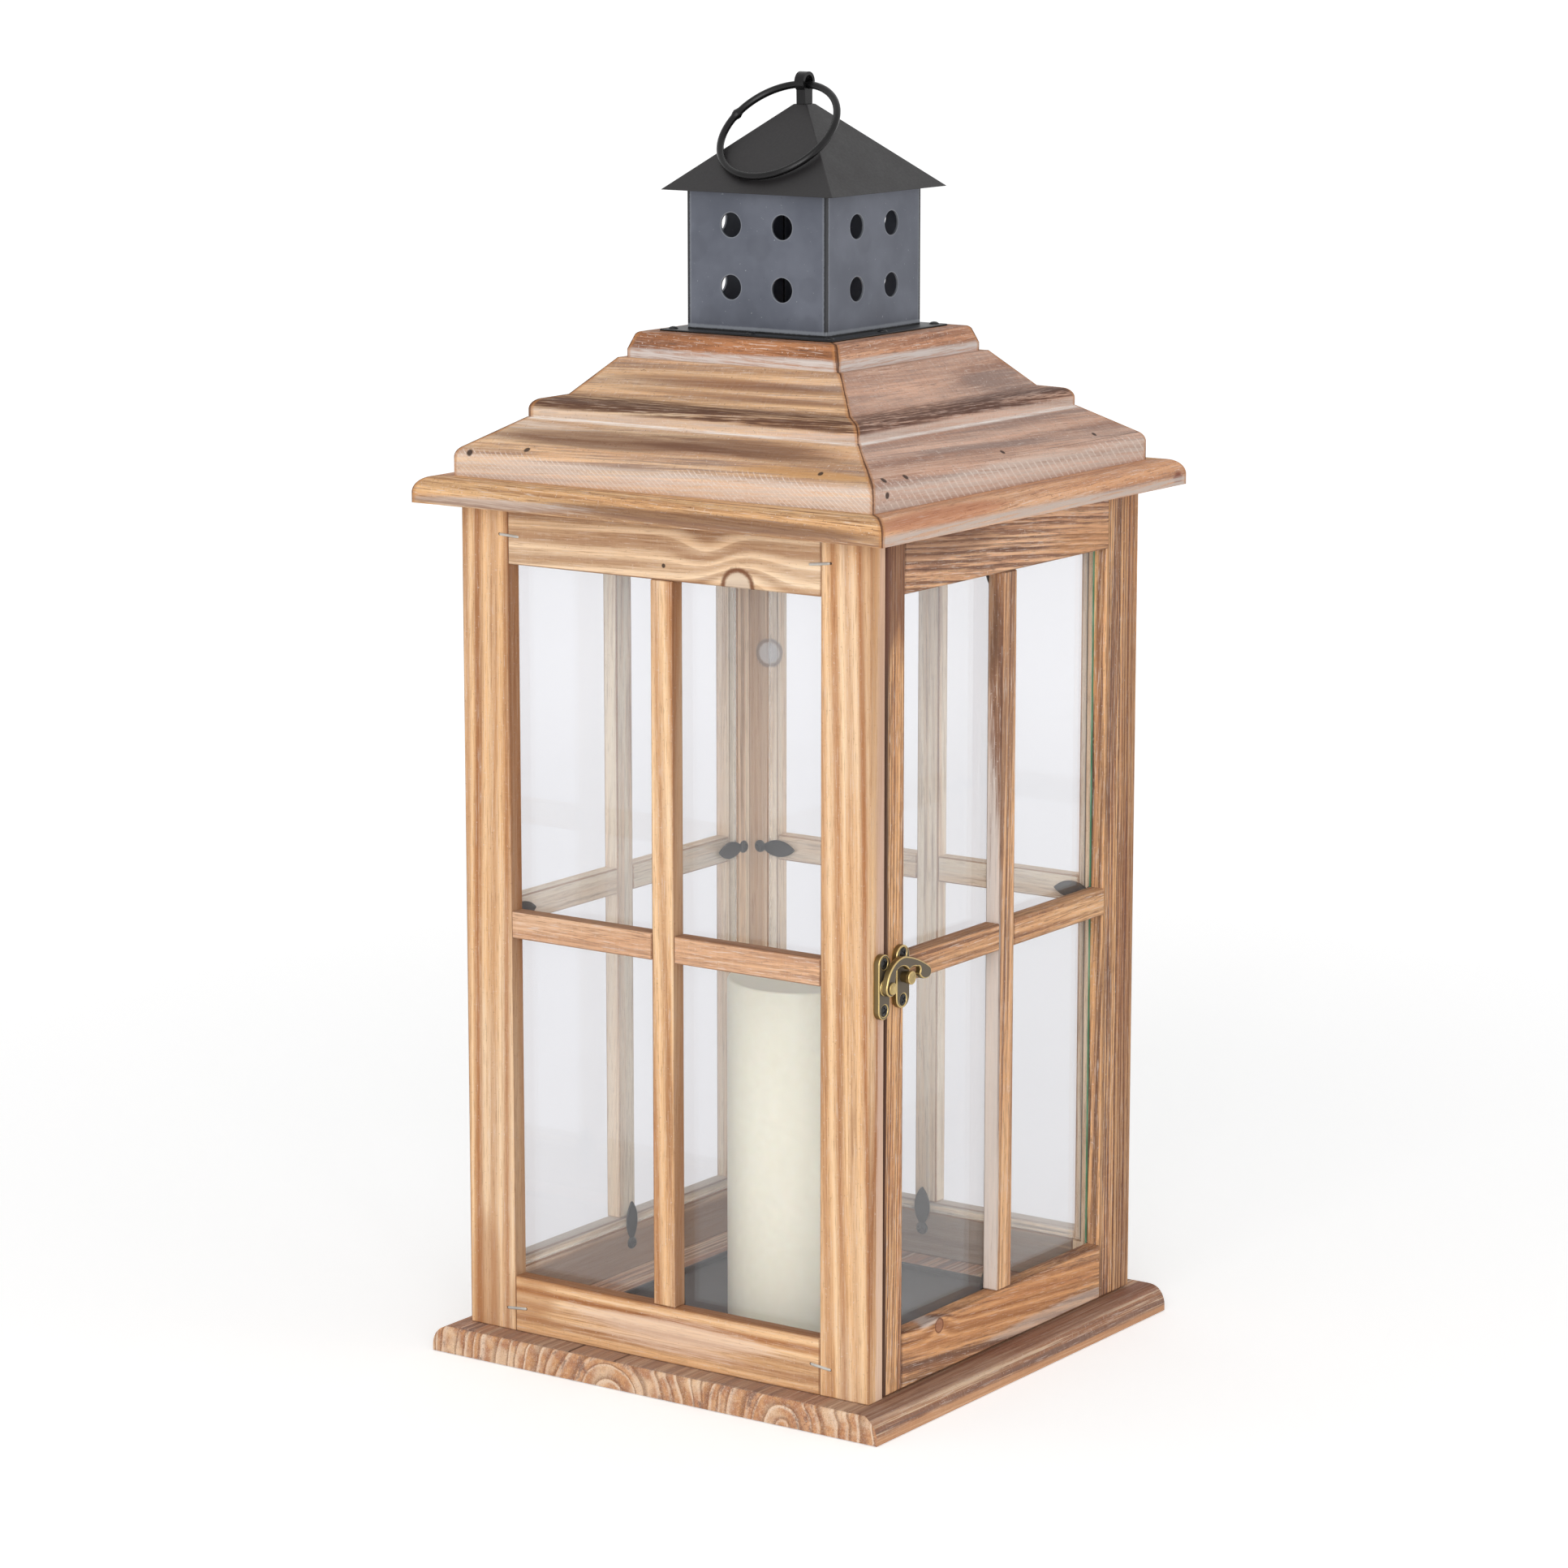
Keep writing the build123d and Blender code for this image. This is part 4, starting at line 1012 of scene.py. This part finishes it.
# staples over the joints of the left panel
def stapleTree():
    start, given = newTree("stapleCrowns", {
        "Crown Length": "Float", "Wire Radius": "Float", "Leg Dip": "Float"})
    half = given["Crown Length"] * 0.5
    ends = [start.node("ShaderNodeCombineXYZ", {}, {"X": x}) for x in (-half, half)]
    crown = start.node("GeometryNodeCurvePrimitiveLine", {}, {"Start": ends[0], "End": ends[1]})
    fine = start.node("GeometryNodeResampleCurve", {}, {"Curve": crown, "Count": 28})
    along = start.node("GeometryNodeSplineParameter", {}, {}, "Factor")
    bend = (abs(along - 0.5) - 0.40) * 10.0
    bend = bend.maths("MAXIMUM", bend, 0.0)
    dip = start.node("ShaderNodeCombineXYZ", {}, {"Z": bend ** 2.0 * -given["Leg Dip"]})
    bent = start.node("GeometryNodeSetPosition", {}, {"Geometry": fine, "Offset": dip})
    rim = start.node("GeometryNodeCurvePrimitiveCircle", {},
                     {"Resolution": 12, "Radius": given["Wire Radius"]})
    wire = start.node("GeometryNodeCurveToMesh", {}, {"Curve": bent, "Profile Curve": rim, "Fill Caps": True})
    return onPoints(start, given, wire)


stapleMat = metalMaterial("staple_metal", (176, 173, 167), (222, 220, 214), 0.4, 0.1, 0.4)
stapleSizes = {"Crown Length": 0.0100, "Wire Radius": 0.0006, "Leg Dip": 0.0012}
staplePlaces = []
for pair in leftPanel["staples"]:
    first, last = [Vector((leftPanel["face"],) + end) for end in pair]
    staplePlaces.append(((first + last) / 2, (-1, 0, 0), last - first))
scattered("staple_crowns", stapleTree(), staplePlaces, "lantern_body", [], stapleMat,
          stapleSizes)
print("fasteners")

# stage, with glow and behindGlass as a span of distances and the light at its two ends
stageLook = {"half": 30.0, "level": -0.0003, "paper": (0.9, 0.9, 0.9, 1.0), "white": (1.0, 1.0, 1.0, 1.0),
             "glow": (0.25, 1.8, 0.33, 0.58), "behindGlass": (0.4, 1.3, 0.0, 0.12), "sky": 0.58}
lampLook = {"aim": (0, 0, 0.25),
            "key": {"spot": (-1.9, -0.7, 1.5), "power": 12.0, "size": 1.4},
            "front": {"spot": (-1.6, -1.3, 0.6), "power": 15.0, "size": 1.0},
            "fill": {"spot": (0.5, -2.2, 1.3), "power": 1.5, "size": 1.4}}
cameraLook = {"lens": 114.0, "sensor": 36.0, "far": 200.0, "spot": (-1.6682, -1.1453, 0.6270),
              "way": (0.8071, 0.5590, -0.1899)}


def seenRays(start):
    # 1 for rays from the camera, straight, mirrored or through glass, and 1 for those through glass
    ways = start.node("ShaderNodeLightPath").out.node.outputs
    straight, mirrored, through = [
        Sock(start.tree, ways["Is " + kind + " Ray"]) for kind in ("Camera", "Glossy", "Transmission")]
    return straight.maths("MAXIMUM", straight, mirrored.maths("MAXIMUM", mirrored, through)), through


def aimed(obj, spot, way):
    obj.location = spot
    obj.rotation_euler = Vector(way).to_track_quat("-Z", "Y").to_euler()


def lamp(name, spot, power, size):
    data = bpy.data.lights.new(name, "AREA")
    data.energy = power
    data.size = size
    aimed(linked(name, data), spot, Vector(lampLook["aim"]) - Vector(spot))


floorMesh = bpy.data.meshes.new("floor")
half = stageLook["half"]
corners = [(-half, -half, 0), (half, -half, 0), (half, half, 0), (-half, half, 0)]
floorMesh.from_pydata(corners, [], [(0, 1, 2, 3)])
floorObj = linked("floor", floorMesh)
floorObj.location.z = stageLook["level"]
floorMat, floorShader, floorStart = newMaterial("floor_paper", {
    "Base Color": stageLook["paper"], "Roughness": 0.9, "Specular IOR Level": 0.0,
    "Emission Color": stageLook["white"]})
shown, throughGlass = seenRays(floorStart)
away = floorStart.place().near((0, 0, 0))
feed(floorShader, "Emission Strength",
     shown * away.smooth(*stageLook["glow"]) - throughGlass * away.smooth(*stageLook["behindGlass"]))
floorMesh.materials.append(floorMat)

world = bpy.data.worlds.new("studio")
bpy.context.scene.world = world
world.use_nodes = True
sky = world.node_tree.nodes["Background"]
sky.inputs["Color"].default_value = stageLook["white"]
skyShown = seenRays(Sock(world.node_tree))[0]
feed(sky, "Strength", skyShown * (1.0 - stageLook["sky"]) + stageLook["sky"])

for name in ("key", "front", "fill"):
    lamp(name, **lampLook[name])

camData = bpy.data.cameras.new("camera")
camData.lens = cameraLook["lens"]
camData.sensor_width = cameraLook["sensor"]
camData.clip_end = cameraLook["far"]
camObj = linked("camera", camData)
aimed(camObj, cameraLook["spot"], cameraLook["way"])
bpy.context.scene.camera = camObj
bpy.context.scene.view_settings.view_transform = "Standard"
print("stage")
